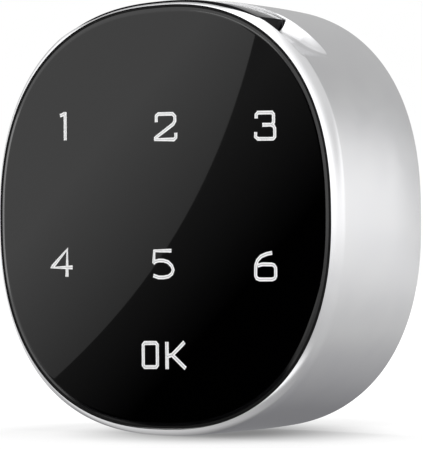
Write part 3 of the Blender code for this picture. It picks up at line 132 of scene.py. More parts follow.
# Release button, its hooks and springs
BUTTON_HALF_LENGTH = 17.8
BUTTON_FRONT_Y = -20.85
BUTTON_REAR_Y = -14.36
BUTTON_MIDDLE_YS = (-18.5, -16.5)
BUTTON_HALF = 31.75
BUTTON_LOW_Z = 24.2
BUTTON_BLANK_Z = 34.0
BUTTON_BLANK_OVERRUN = 0.5
BUTTON_CORNER = ((0.0, 0.7), (0.2, 0.25), (0.65, 0.0))
BUTTON_EDGE = 0.12
# reach of the painted shade on the button's front and end faces
PAINTED_SHADE_START = 0.05
PAINTED_SHADE_END = 0.16
HOOK_X = 15.6
HOOK_HALF_WIDTH = 1.3
HOOK_OUTLINE = [(-16.53, 25.0), (-16.53, 15.3), (-11.2, 15.3), (-11.2, 17.6), (-11.9, 18.4),
                (-12.5, 18.4), (-12.5, 16.6), (-15.23, 16.6), (-15.23, 25.0)]
HOOK_SLOT_PLACE = (-15.88, 22.0)
HOOK_SLOT_SIZE = (3.2, 1.9, 5.0)
CUP_PLACE = (7.0, -16.6, 23.85)
CUP_RADIUS = 1.55
CUP_LENGTH = 6.0
COIL_WIRE = 0.2
COIL_TURNS = 4
COIL_STEPS = 24

# Foam pad and barrel
FOAM_HALF = 29.1
FOAM_BORE = 15.3
FOAM_FRONT_Y = -0.8
FOAM_EDGE = 0.25
FOAM_BORE_EDGE = 0.2
BORE_RADIUS = 4.1
BORE_EDGE = 0.4
NECK_RADIUS = 9.2
NECK_FRONT_Y = -2.55
FLANGE_RADIUS = 15.0
FLANGE_FRONT_Y = -0.8
FLANGE_EDGE = 0.15
BARREL_RADIUS = 9.5
BARREL_END = 20.0
BARREL_END_RADIUS = 8.6
BARREL_STEPS = 120
FLAT_HALF = 8.0
FLAT_CUTTER = (6.0, 21.0, 24.0)
THREAD_PITCH = 1.0
THREAD_DEPTH = 0.5
THREAD_FLAT = 0.12
THREAD_RINGS = 8
THREAD_START = (0.5, 1.3)
THREAD_RUN_OUT = 0.7

# Washers as (bore, radius, low, high, broken edge), and the nut
CLAMP_WASHER = (9.8, 14.5, 13.6, 14.6, 0.12)
CAM_WASHER = (1.9, 6.5, 23.6, 24.4, 0.1)
NUT_LOW = 14.9
NUT_HIGH = 19.4
NUT_ACROSS_FLATS = 24.0
NUT_FACE_INSET = 0.3
NUT_CORNER_REACH = 0.4
NUT_CORNER_DROP = 1.1
NUT_FACE_PROUD = 0.02
NUT_BORE = 9.65
NUT_MOUTH = 10.4
NUT_MOUTH_DEPTH = 0.6
NUT_MOUTH_OVERRUN = 0.2
NUT_EDGE = 0.1

# Cam and its screw
CAM_LOW = 20.3
CAM_HIGH = 23.3
CAM_HUB = 9.0
CAM_TIP = 6.0
CAM_REACH = 34.0
CAM_HUB_STEPS = 71
CAM_TIP_STEPS = 35
CAM_SQUARE = (5.8, 6.0, 5.8)
CAM_EDGE = 0.35
SCREW_STATIONS = [(1.2, 15.8), (1.6, 16.3), (1.6, 24.7), (3.4, 24.7), (3.5, 24.8), (3.5, 25.9),
                  (3.42, 26.3), (3.15, 26.68), (2.6, 26.95), (1.7, 27.07), (0.6, 27.1)]
SCREW_STEPS = 64
CROSS_Y = 26.5
CROSS_DEPTH = 2.0
CROSS_LENGTH = 3.7
CROSS_WIDTH = 0.8

# Printed figures as (middle x, middle z, width, height, pen), and their strokes
FIGURE_PLACES = {
    "1": (-18.09, 14.12, 1.60, 4.44, 0.58),
    "2": (1.82, 13.13, 4.44, 4.32, 0.58),
    "3": (19.90, 12.46, 3.95, 4.30, 0.58),
    "4": (-18.42, -6.47, 4.82, 4.56, 0.66),
    "5": (1.17, -6.93, 4.30, 4.46, 0.58),
    "6": (19.74, -7.41, 4.10, 4.34, 0.58),
    "O": (-1.42, -20.25, 3.30, 4.17, 0.64),
    "K": (3.44, -20.24, 4.08, 4.0, 0.64),
}
STROKE_SHARES = {
    "1": [[(1, -0.06), (1, 1.05)], [(0.9, 0.98), (0, 0.905)]],
    "2": [[(0.06, 0.68), (0.06, 0.93), (0.16, 1), (0.85, 1), (0.96, 0.9), (0.96, 0.72),
           (0.88, 0.60), (0, 0.06), (0, 0), (0.9, 0), (1, 0.08), (1, 0.26)]],
    "3": [[(0.04, 0.78), (0.04, 0.92), (0.13, 1), (0.86, 1), (0.94, 0.93), (0.94, 0.63),
           (0.86, 0.535), (0.36, 0.535)],
          [(0.80, 0.535), (0.93, 0.50), (1, 0.40), (1, 0.08), (0.91, 0), (0.12, 0), (0, 0.08),
           (0.01, 0.26)]],
    "4": [[(0.73, -0.06), (0.75, 1), (0.05, 0.34), (0, 0.30), (1, 0.30)]],
    "5": [[(0.92, 1), (0.06, 1), (0.02, 0.53)],
          [(0, 0.53), (0.12, 0.605), (0.30, 0.635), (0.52, 0.63), (0.75, 0.57), (0.93, 0.43),
           (1, 0.27), (0.93, 0.13), (0.76, 0.03), (0.5, -0.005), (0.25, 0), (0, 0.07)]],
    "6": [[(0.83, 1), (0.55, 0.955), (0.28, 0.87), (0.10, 0.72), (0.01, 0.53), (0, 0.14),
           (0.06, 0.04), (0.2, 0), (0.82, 0), (0.95, 0.04), (1, 0.13), (1, 0.43), (0.92, 0.53),
           (0.8, 0.56), (0.35, 0.57), (0.1, 0.52)]],
    "O": [[(0.1, 1), (0.9, 1), (1, 0.92), (1, 0.08), (0.9, 0), (0.1, 0), (0, 0.08), (0, 0.92),
           (0.1, 1), (0.5, 1)]],
    "K": [[(0, -0.09), (0, 1.09)], [(0.95, 1.07), (0.28, 0.52), (0, 0.46)],
          [(0.28, 0.52), (1.0, -0.07)]],
}
PRINT_PROUD = 0.03
CORE_PROUD = 0.036
CORE_SHARE = 0.36
PRINT_LEAN = 0.0017
LEVEL_Z = -8.3

# Studio zones as (direction, start and end along it, light before and after)
BEHIND = (-0.35, 0.93, 0.15)
STUDIO_ZONES = ((BEHIND, 0.53, 0.68, 1.34, 0.525),
                ((-0.2, -0.2, 0.96), 0.86, 0.98, 1.04, 1.5),
                ((0.55, -0.83, 0), 0.55, 0.9, 1.0, 1.1),
                ((0.6, 0.1, 0.8), 0.6, 0.85, 1.0, 0.565))
SOFT_LIGHT = 0.45
WHITE_LIGHT = 1.0

# Cards in millimetres, and how the light runs across them
CARD_TOP = 142
CARD_LOW = -120
CARD_STEP = 6
CARD_LEFT = -760
EDGE_CURVE = (9.49, -41.738, 87.533, -464.284)  # the edge's x as a cubic of height / 100
LIGHT_CARD_Y = -600
LIGHT_SLOPE = (8.812, 0, -10.0)
LIGHT_START = -4.924
DARK_CARD_Y = -604
DARK_OUTLINE = [(-860, -480), (-175, -480), (-175, CARD_TOP), (-780, CARD_TOP),
                (-780, CARD_LOW), (-860, CARD_LOW)]
DARK_SLOPE = (-10.85, 0, 11.82)
DARK_START = 4.38

# Floor shading in metres, and the floor's painted shadow to gloss as (share of TONE_REACH, tone,
# blue by tone)
FLOOR_SIZE = 6
# the camera's white glow on the floor is held back within these reaches of this middle: a painted
# contact shadow
PAINTED_SHADOW_MIDDLE = (0.0039, -0.0108, -0.0321)
PAINTED_SHADOW_REACH = (0.003, 0.028, 0.2, 0.82)
BEYOND_REACH = (0.03, 0.1, 0.0, 0.2)
OWN_TONE = (0, 1, 0.9, 0.19)
# the tones that gloss sees of the floor paint its shadow: dark under the lock, lighter outwards
TONE_CENTRE = (0, 0.011, 0)
TONE_SQUEEZE = (1, 0.5, 0)
TONE_REACH = 0.6
TONE_MIDDLE = (0.37, 0.38, 0.39, 1)
TONE_SHARES = ((0.0167, 0.195, 1.04), (0.0267, 0.2, 1.04), (0.0443, 0.34, 1.02),
               (0.0733, 0.54, 1.0), (0.14, 0.71, 1.0), (0.228, 0.8, 1.0), (0.6, 0.93, 1.0))
TONE_STRENGTH = 1.12
TONE_FALL = 0.45
TONE_FALL_ZONE = (0.5, 0.64)
FRONT_TONE_ZONE = (-0.019, -0.022)
FRONT_TONE_SLANT = (-0.02, 0.02, 0.85, 0.4)
STRIP_BOW = 0.22
STRIP_ZONE = (-0.0222, -0.0238)
STRIP_END_WAY = (0.81, -0.58, 0)
STRIP_END_ZONE = (0.038, 0.052)

# Lamp and camera in metres and degrees
LAMP_PLACE = (-0.01, 0.12, 0.95)
LAMP_SIZE = 0.45
LAMP_WATTS = 8
CAMERA_PLACE = (0.220019, -0.294193, -0.008284)
CAMERA_TURN = (91.14706, 0.56489, 37.64431)
CAMERA_LENS = 191.136
CAMERA_NEAR = 0.01


def clear_selection():
    """Everything deselected, so that an operator acts on the next piece alone."""
    if bpy.context.mode != "OBJECT":
        bpy.ops.object.mode_set(mode="OBJECT")
    bpy.ops.object.select_all(action="DESELECT")


def pick(piece, *others):
    """piece active, and it and the others selected."""
    clear_selection()
    for each in (piece,) + others:
        each.select_set(True)
    bpy.context.view_layer.objects.active = piece


def named(name):
    """Names the piece just added, and its mesh."""
    piece = bpy.context.object
    piece.name = name
    piece.data.name = name
    return piece


def set_down(piece):
    """Puts the piece's place, turn and scale in its mesh, and its origin at the world's."""
    pick(piece)
    bpy.ops.object.transform_apply(location=True, rotation=True, scale=True)
    return piece


def smooth(piece, degrees):
    """Shaded smooth, except over edges that turn by more than the angle."""
    pick(piece)
    bpy.ops.object.shade_smooth_by_angle(angle=math.radians(degrees))
    return piece


def finished(piece, look, degrees):
    """Gives the piece its material and its smooth shading."""
    piece.data.materials.append(look)
    return smooth(piece, degrees)


def applied(piece, kind, **settings):
    """Adds a modifier, sets it and applies it."""
    pick(piece)
    bpy.ops.object.modifier_add(type=kind)
    modifier = piece.modifiers[-1]
    for key, value in settings.items():
        setattr(modifier, key, value)
    bpy.ops.object.modifier_apply(modifier=modifier.name)
    return piece


def bored(piece, tool, operation="DIFFERENCE"):
    """Cuts, keeps or joins by a second piece, which is used up."""
    applied(piece, "BOOLEAN", operation=operation, solver="EXACT", object=tool)
    bpy.data.objects.remove(tool)
    return piece


def broken_edges(piece, width, segments, degrees):
    """Rounds the edges that turn by more than the angle."""
    return applied(piece, "BEVEL", width=width * MM, segments=segments, limit_method="ANGLE",
                   angle_limit=math.radians(degrees))


def cleaned(piece, distance=1e-6):
    """Doubles merged and faces turned outwards."""
    pick(piece)
    bpy.ops.object.mode_set(mode="EDIT")
    bpy.ops.mesh.select_all(action="SELECT")
    bpy.ops.mesh.remove_doubles(threshold=distance)
    bpy.ops.mesh.normals_make_consistent(inside=False)
    bpy.ops.object.mode_set(mode="OBJECT")
    return piece


def block(name, centre, size):
    """A cutter block."""
    clear_selection()
    place = tuple(part * MM for part in centre)
    bpy.ops.mesh.primitive_cube_add(size=MM, location=place, scale=size)
    return set_down(named(name))


def faced_outline(name, points):
    """One flat face through (x, y, z) points, left selected in edit mode."""
    clear_selection()
    bpy.ops.mesh.primitive_circle_add(vertices=len(points), radius=MM)
    piece = named(name)
    for vertex, point in zip(piece.data.vertices, points):
        vertex.co = tuple(part * MM for part in point)
    bpy.ops.object.mode_set(mode="EDIT")
    bpy.ops.mesh.select_all(action="SELECT")
    bpy.ops.mesh.edge_face_add()
    return piece


def pushed_out(name, points, way):
    """A solid from a flat face through (x, y, z) points, extruded along way."""
    piece = faced_outline(name, points)
    step = tuple(part * MM for part in way)
    bpy.ops.mesh.extrude_region_move(TRANSFORM_OT_translate={"value": step})
    bpy.ops.mesh.select_all(action="SELECT")
    bpy.ops.mesh.normals_make_consistent(inside=False)
    bpy.ops.object.mode_set(mode="OBJECT")
    return piece


def squircle_reach(angle, exponent):
    """Distance from the middle to a unit squircle's edge at a polar angle."""
    across = abs(math.cos(angle)) ** exponent
    up = abs(math.sin(angle)) ** exponent
    return (across + up) ** (-1 / exponent)


def squircle_height(x, half, exponent):
    """Height of a squircle's top above its middle at x."""
    return half * (1 - (abs(x) / half) ** exponent) ** (1 / exponent)


def outline_angles(dense_from=38.0, dense_to=142.0, fine=0.35, coarse=1.0):
    """Polar angles round the body, close together over the groove."""
    angles = []
    degree = dense_from
    while degree < dense_to:
        angles.append(math.radians(degree))
        degree += fine
    degree = dense_to
    while degree < dense_from + 360:
        angles.append(math.radians(degree))
        degree += coarse
    return angles


def even_angles(steps):
    """Polar angles evenly spaced round a circle."""
    return [math.radians(360 * index / steps) for index in range(steps)]


def start_ring(name, angles, exponent, half, y):
    """A circle of edges pulled to a squircle, in edit mode and ready to be drawn out."""
    clear_selection()
    bpy.ops.mesh.primitive_circle_add(vertices=len(angles), radius=half * MM)
    ring = named(name)
    for vertex, angle in zip(ring.data.vertices, angles):
        reach = half * MM * squircle_reach(angle, exponent)
        vertex.co = (reach * math.cos(angle), y * MM, reach * math.sin(angle))
    bpy.ops.object.mode_set(mode="EDIT")
    bpy.ops.mesh.select_all(action="SELECT")
    return ring


def turn_to(vertex, reach, angle):
    """Moves a vertex, at its own y, to a reach from the y axis at a polar angle."""
    vertex.co.x = reach * MM * math.cos(angle)
    vertex.co.z = reach * MM * math.sin(angle)


def draw_rings(stations):
    """Extrudes the selected ring from the first (half width, y) station through the others."""
    half, y = stations[0]
    for next_half, next_y in stations[1:]:
        step = (0, (next_y - y) * MM, 0)
        bpy.ops.mesh.extrude_region_move(TRANSFORM_OT_translate={"value": step})
        scale = next_half / half
        bpy.ops.transform.resize(value=(scale, 1, scale), center_override=(0, next_y * MM, 0))
        half, y = next_half, next_y


def drawn(name, angles, exponent, stations, capped=False):
    """A skin of squircle rings through (half width, y) stations, open or capped at both ends."""
    piece = start_ring(name, angles, exponent, *stations[0])
    if capped:
        bpy.ops.mesh.edge_face_add()
        bpy.ops.mesh.select_mode(type="EDGE")
        bpy.ops.mesh.select_all(action="SELECT")
    draw_rings(stations)
    if capped:
        bpy.ops.mesh.edge_face_add()
        bpy.ops.mesh.select_mode(type="VERT")
    bpy.ops.object.mode_set(mode="OBJECT")
    return piece


def turned(name, stations, steps=96, capped=False):
    """A turned part about y, through (radius, y) stations, capped or closed on itself."""
    return cleaned(drawn(name, even_angles(steps), 2, stations, capped))


def spaced(start, end, step):
    """Values from start up to end, near enough a step apart."""
    count = max(1, round(abs(end - start) / step))
    return [start + (end - start) * index / count for index in range(count)]


def smooth_step(value, low, high):
    """0 to 1 as the value goes from low to high, level at both ends."""
    share = min(1.0, max(0.0, (value - low) / (high - low)))
    return share * share * (3 - 2 * share)


def bent_wire(name, radius, paths):
    """Round wire through each path of (x, y, z) points in metres, made a mesh."""
    curve = bpy.data.curves.new(name, "CURVE")
    curve.dimensions = "3D"
    curve.bevel_depth = radius
    curve.bevel_resolution = 3
    curve.use_fill_caps = True
    for path in paths:
        line = curve.splines.new("POLY")
        line.points.add(len(path) - 1)
        for point, place in zip(line.points, path):
            point.co = (*place, 1)
    wire = bpy.data.objects.new(name, curve)
    bpy.context.collection.objects.link(wire)
    pick(wire)
    bpy.ops.object.convert(target="MESH")
    piece = bpy.context.object
    piece.data.name = name
    return piece


def add_node(tree, kind, output, inputs, **settings):
    """A node with its settings and inputs, linked where an input is a socket. Returns an output."""
    node = tree.nodes.new("ShaderNode" + kind)
    for name, value in settings.items():
        setattr(node, name, value)
    for key, value in inputs.items():
        if isinstance(value, bpy.types.NodeSocket):
            tree.links.new(value, node.inputs[key])
        else:
            node.inputs[key].default_value = value
    return node.outputs[output]


def arithmetic(tree, how, first, second=0.0):
    """A math node on sockets or numbers."""
    return add_node(tree, "Math", "Value", {0: first, 1: second}, operation=how)


def vector_math(tree, how, place, other=(0, 0, 0)):
    """A vector math node on a place and a fixed vector."""
    output = "Value" if how in ("DOT_PRODUCT", "LENGTH") else "Vector"
    return add_node(tree, "VectorMath", output, {0: place, 1: other}, operation=how)


def ranged(tree, value, low, high, start=0.0, end=1.0, easing="LINEAR"):
    """Turns a value's run from low to high into a run from start to end."""
    inputs = {"Value": value, "From Min": low, "From Max": high, "To Min": start, "To Max": end}
    return add_node(tree, "MapRange", "Result", inputs, interpolation_type=easing)


def slope(tree, place, direction, low, high, start=0.0, end=1.0):
    """Goes softly from start to end as the place runs from low to high along a direction."""
    along = vector_math(tree, "DOT_PRODUCT", place, direction)
    return ranged(tree, along, low, high, start, end, "SMOOTHSTEP")


def object_place(tree):
    """The piece's own place in metres."""
    return add_node(tree, "TexCoord", "Object", {})


def split_place(tree, place):
    """The outputs X, Y and Z of a place."""
    split = tree.nodes.new("ShaderNodeSeparateXYZ")
    tree.links.new(place, split.inputs["Vector"])
    return split.outputs


def glow(tree, strength, colour=(1, 1, 1, 1)):
    """An emission of a colour and strength."""
    return add_node(tree, "Emission", "Emission", {"Color": colour, "Strength": strength})


def blended(tree, share, first, second):
    """Mixes two shaders."""
    return add_node(tree, "MixShader", "Shader", {0: share, 1: first, 2: second})


def mirrored(tree, rays):
    """1 where the ray was mirrored or let through."""
    return arithmetic(tree, "MAXIMUM", rays["Is Glossy Ray"], rays["Is Transmission Ray"])


def end_material(tree, shader):
    """Links a shader to the material's output."""
    output = tree.nodes.new("ShaderNodeOutputMaterial")
    tree.links.new(shader, output.inputs["Surface"])


def new_material(name, colour, metallic, roughness):
    """A Principled material. Returns it with its node tree and the shader's inputs."""
    material = bpy.data.materials.new(name)
    material.use_nodes = True
    inputs = material.node_tree.nodes["Principled BSDF"].inputs
    inputs["Base Color"].default_value = (*colour, 1)
    inputs["Metallic"].default_value = metallic
    inputs["Roughness"].default_value = roughness
    return material, material.node_tree, inputs


def bare_material(name):
    """A material with an empty node tree. Returns both."""
    material = bpy.data.materials.new(name)
    material.use_nodes = True
    material.node_tree.nodes.clear()
    return material, material.node_tree


def grain(tree, scale, detail=3.0):
    """Noise over the piece's own place."""
    inputs = {"Vector": object_place(tree), "Scale": scale, "Detail": detail}
    return add_node(tree, "TexNoise", "Fac", inputs)


def vary(tree, pattern, low, high, socket):
    """Feeds a socket a pattern that runs from low to high."""
    tree.links.new(ranged(tree, pattern, 0.3, 0.7, low, high), socket)


def tint(tree, pattern, first, second, socket):
    """Feeds a socket two colours blended by a pattern."""
    ramp = tree.nodes.new("ShaderNodeValToRGB")
    for stop, position, colour in zip(ramp.color_ramp.elements, (0.3, 0.7), (first, second)):
        stop.position = position
        stop.color = (*colour, 1)
    tree.links.new(pattern, ramp.inputs["Fac"])
    tree.links.new(ramp.outputs["Color"], socket)


def raise_grain(tree, pattern, strength, depth, socket):
    """Feeds a socket the bumps of a pattern, with their depth in metres."""
    inputs = {"Strength": strength, "Distance": depth, "Height": pattern}
    tree.links.new(add_node(tree, "Bump", "Normal", inputs), socket)


def satin_chrome():
    """Pearl chrome plate: bright metal under a very fine satin blast."""
    material, tree, inputs = new_material("satin_chrome", (0.80, 0.80, 0.815), 1, 0.24)
    cloud = grain(tree, 180, 2)
    vary(tree, cloud, 0.225, 0.265, inputs["Roughness"])
    tint(tree, cloud, (0.79, 0.79, 0.805), (0.82, 0.82, 0.83), inputs["Base Color"])
    raise_grain(tree, grain(tree, 9000, 2), 0.05, 0.00002, inputs["Normal"])
    return material


def metal(name, colour, worn, roughness, lines_scale=2600):
    """Plain plated or machined metal with a fine grain and cloudy tone."""
    material, tree, inputs = new_material(name, colour, 1, roughness)
    tint(tree, grain(tree, 240, 4), worn, colour, inputs["Base Color"])
    lines = grain(tree, lines_scale)
    vary(tree, lines, roughness * 0.8, roughness * 1.25, inputs["Roughness"])
    raise_grain(tree, lines, 0.25, 0.00001, inputs["Normal"])
    return material


def moulded(name, colour, second, roughness, pit_scale=1400, depth=0.00002):
    """Moulded plastic with a fine spark-eroded grain."""
    material, tree, inputs = new_material(name, colour, 0, roughness)
    tint(tree, grain(tree, 120), colour, second, inputs["Base Color"])
    pits = grain(tree, pit_scale, 2)
    vary(tree, pits, roughness * 0.85, roughness * 1.15, inputs["Roughness"])
    raise_grain(tree, pits, 0.2, depth, inputs["Normal"])
    return material


def black_glass():
    """Cover glass printed black on its back: deep black with a mirror polish."""
    material, tree, inputs = new_material("black_glass", (0.0003, 0.0003, 0.0004), 0, 0.03)
    inputs["IOR"].default_value = 1.5
    vary(tree, grain(tree, 60, 2), 0.008, 0.014, inputs["Roughness"])
    return material


def glass_edge():
    """The polished strip round the glass, which catches more light than its face."""
    material, tree, inputs = new_material("glass_edge", (0.004, 0.004, 0.0045), 0, 0.1)
    vary(tree, grain(tree, 900, 2), 0.08, 0.12, inputs["Roughness"])
    return material


def ground_edge():
    """The glass's ground side, black and matt with little reflection: painted shade for the gap
    between the glass and the lip.
    """
    material, tree, inputs = new_material("ground_edge", (0.002, 0.002, 0.002), 0, 0.6)
    # painted shade: the reflection is turned down so that the gap round the glass reads dark
    inputs["Specular IOR Level"].default_value = 0.12
    vary(tree, grain(tree, 3000, 2), 0.5, 0.7, inputs["Roughness"])
    return material


def button_gloss():
    """Black button: polished on top, with painted shade on its front and end faces, where its
    reflection is turned down.
    """
    material, tree, inputs = new_material("button_gloss", (0.006, 0.006, 0.007), 0, 0.16)
    waves = grain(tree, 700, 2)
    vary(tree, waves, 0.14, 0.2, inputs["Roughness"])
    raise_grain(tree, waves, 0.05, 0.00001, inputs["Normal"])
    place = split_place(tree, object_place(tree))
    # painted shade: the reflection is turned down on the front face and the end faces, which lie in
    # the groove's shade
    front = ranged(tree, place["Y"], (BUTTON_FRONT_Y + PAINTED_SHADE_START) * MM,
                   (BUTTON_FRONT_Y + PAINTED_SHADE_END) * MM, 0.03, 0.4)
    end = ranged(tree, arithmetic(tree, "ABSOLUTE", place["X"]),
                 (BUTTON_HALF_LENGTH - PAINTED_SHADE_END) * MM, (BUTTON_HALF_LENGTH - PAINTED_SHADE_START) * MM,
                 0.4, 0.06)
    tree.links.new(arithmetic(tree, "MINIMUM", front, end), inputs["Specular IOR Level"])
    return material


def lit_print(name, colour, strength):
    """Translucent white print with the key light behind it, whose glow also stands in for the
    studio light on its face: partly painted light.
    """
    material, tree, inputs = new_material(name, colour, 0, 0.45)
    shade = tuple(0.93 * part for part in colour)
    speck = grain(tree, 2500)
    for name in ("Base Color", "Emission Color"):
        tint(tree, speck, shade, colour, inputs[name])
    # the glow is partly the key light behind the print and partly painted light
    inputs["Emission Strength"].default_value = strength
    return material


def lip_half(y):
    """Half width of the rounded lip, which leaves the panel opening already turned outwards."""
    turn = math.acos(min(1.0, (FRONT_Y + LIP_DEPTH - y) / LIP_DEPTH * math.cos(LIP_START)))
    share = (1 - math.sin(turn)) / (1 - math.sin(LIP_START))
    return BODY_HALF - (BODY_HALF - LIP_INNER_HALF) * share


def body_half(y):
    """Half width of the body, which draws in a little towards the door."""
    if y < FRONT_Y + LIP_DEPTH:
        return lip_half(y)
    if y < DRAW_START_Y:
        return BODY_HALF
    run = (y - DRAW_START_Y) / (REAR_Y - DRAW_START_Y)
    return BODY_HALF - (BODY_HALF - REAR_HALF) * run ** 2


def rounded_floor(y, front, rear):
    """Height of the button pocket's floor, with rounded corners at its front and rear walls."""
    short = max(front + GROOVE_CORNER - y, y - (rear - GROOVE_CORNER), 0.0)
    short = min(short, GROOVE_CORNER)
    return GROOVE_FLOOR_Z + GROOVE_CORNER - math.sqrt(GROOVE_CORNER ** 2 - short ** 2)


def scoop_depth(x, y):
    """How far the finger scoop at each end of the button falls below the body's outline."""
    share = min(1.0, max(0.0, (abs(x) - POCKET_END_X) / (SCOOP_END_X - POCKET_END_X)))
    back = GROOVE_REAR_Y - y
    front = smooth_step(y - GROOVE_WALL_Y, 0.0, SCOOP_FRONT_BLEND)
    taper = SCOOP_TAPER + SCOOP_TAPER_GAIN * front
    bowl = SCOOP_DEPTH * (1 - share ** taper) * (1 - math.exp(-back / SCOOP_FALL))
    step = max(0.0, (SCOOP_STEP_END_X - abs(x)) / (SCOOP_STEP_END_X - POCKET_END_X))
    rounding = GROOVE_FILLET * (1 - smooth_step(abs(x), *FILLET_FADE))
    return (bowl + SCOOP_STEP * step) * front + rounding * (1 - front)


def lowered_lip(x, y, height):
    """Height of the lip ahead of the groove, pressed towards the panel's opening."""
    opening = squircle_height(x, LIP_INNER_HALF, LIP_EXPONENT)
    keep = LIP_KEEP + (1 - LIP_KEEP) * smooth_step(abs(x), *LIP_KEEP_FADE)
    lowered = min(height, opening) + max(0.0, height - opening) * keep
    run = max(0.0, y - (GROOVE_WALL_Y - GROOVE_FILLET))
    drop = GROOVE_FILLET - math.sqrt(max(0.0, GROOVE_FILLET ** 2 - run ** 2))
    return lowered - drop * (1 - smooth_step(abs(x), *FILLET_FADE))


def groove_height(x, y, height):
    """Height of the shell's outer skin where the button pocket and the scoops cut it."""
    if y < GROOVE_WALL_Y:
        return lowered_lip(x, y, height)
    if y < GROOVE_REAR_Y:
        if abs(x) < POCKET_END_X:
            return rounded_floor(y, GROOVE_WALL_Y, GROOVE_REAR_Y)
        return height - scoop_depth(x, y)
    if y < GROOVE_REAR_Y + GROOVE_RIM:
        chamfer = GROOVE_RIM - (y - GROOVE_REAR_Y)
        share = smooth_step(abs(x), *RIM_RISE) * (1 - smooth_step(abs(x), *RIM_FALL))
        broken = RIM_LEAST_SHARE + (1 - RIM_LEAST_SHARE) * share
        return height - chamfer * broken * (1 - smooth_step(abs(x), *RIM_END))
    return height


def pressed_inside(half, y, height):
    """Height of the shell's inner skin, which is pressed down under the groove."""
    if y < POCKET_Y + EDGE_STEP / 2 or y > TROUGH_REAR_Y or height <= TROUGH_Z:
        return height
    return TROUGH_Z - (LEDGE_DROP if half == LEDGE_HALF else 0.0)


def shell_stations():
    """The outer skin's (half width, y) stations from the lip to the rear, and the inner ones."""
    fillet_y = GROOVE_WALL_Y - GROOVE_FILLET
    front_rings = spaced(FRONT_Y, fillet_y, 0.05)
    front_rings += spaced(fillet_y, GROOVE_WALL_Y - EDGE_STEP, 0.04)
    front_rings += [GROOVE_WALL_Y - EDGE_STEP, GROOVE_WALL_Y + EDGE_STEP]
    floor_start = GROOVE_WALL_Y + 0.08
    floor_rings = spaced(floor_start, floor_start + 0.8, 0.08)
    floor_rings += spaced(floor_start + 0.8, -15.4, 0.2)
    floor_rings += spaced(-15.4, GROOVE_REAR_Y - EDGE_STEP, 0.08) + [GROOVE_REAR_Y - EDGE_STEP]
    rear_rings = [GROOVE_REAR_Y + step for step in GROOVE_RIM_RINGS]
    rear_rings += BODY_RINGS + [DRAW_START_Y] + DRAW_RINGS + [REAR_Y]
    outer = [(body_half(y), y) for y in front_rings + floor_rings + rear_rings]
    inner = [(WALL_INNER_HALF, REAR_Y), (WALL_INNER_HALF, WALL_MIDDLE_Y),
             (WALL_INNER_HALF, TROUGH_REAR_Y + EDGE_STEP),
             (WALL_INNER_HALF, TROUGH_REAR_Y - EDGE_STEP), (WALL_INNER_HALF, LEDGE_REAR_Y),
             (LEDGE_HALF, LEDGE_REAR_Y), (LEDGE_HALF, LEDGE_MIDDLE_Y),
             (LEDGE_HALF, POCKET_Y + EDGE_STEP), (POCKET_HALF, POCKET_Y),
             (POCKET_HALF, POCKET_MOUTH_Y), (LIP_INNER_HALF, FRONT_Y)]
    return outer, inner


def make_shell(chrome):
    """Body shell: rings drawn out, then pressed to the opening, the groove and the scoops."""
    outer, inner = shell_stations()
    angles = outline_angles()
    shell = drawn("front_shell_skin", angles, BODY_EXPONENT, outer + inner)
    for index, vertex in enumerate(shell.data.vertices):
        ring, around = divmod(index, len(angles))
        half, y = (outer + inner)[ring]
        outside = ring < len(outer)
        if half > LEDGE_HALF and y < POCKET_Y + LIP_BLEND:
            blend = smooth_step(y, FRONT_Y, FRONT_Y + LIP_BLEND) if outside else 0.0
            exponent = LIP_EXPONENT + (BODY_EXPONENT - LIP_EXPONENT) * blend
            ease = OPENING_EASE * max(0.0, math.cos(angles[around] - OPENING_EASE_ANGLE))
            reach = half * squircle_reach(angles[around], exponent) + ease * (1 - blend)
            turn_to(vertex, reach, angles[around])
        height = vertex.co.z / MM
        if height >= GROOVE_LEVEL:
            pressed = (groove_height(vertex.co.x / MM, y, height) if outside
                       else pressed_inside(half, y, height))
            vertex.co.z = pressed * MM
    cleaned(shell, 2e-6)
    for side in (-1, 1):
        bored(shell, block("hook_slot", (side * HOOK_X, *HOOK_SLOT_PLACE), HOOK_SLOT_SIZE))
    return finished(shell, chrome, 32)


def make_panel(face, edge, ground):
    """Cover glass with a polished strip and a ground side."""
    panel = drawn("touch_panel_glass", outline_angles(0, 360, 0.72, 1), PANEL_EXPONENT,
                  PANEL_STATIONS, capped=True)
    cleaned(panel, 1e-7)
    for look in (face, edge, ground):
        panel.data.materials.append(look)
    for polygon in panel.data.polygons:
        depth = polygon.center.y / MM
        if depth < FRONT_Y + HAIR:
            polygon.material_index = 0
        elif depth < PANEL_STRIP_Y - 2 * HAIR:
            polygon.material_index = 1
        else:
            polygon.material_index = 2
    return smooth(panel, 8.5)


def profile_bar(name, outline, half_length, centre_x=0.0):
    """A bar along x whose section is an outline of (y, z) points."""
    points = [(centre_x - half_length, y, z) for y, z in outline]
    return pushed_out(name, points, (2 * half_length, 0, 0))


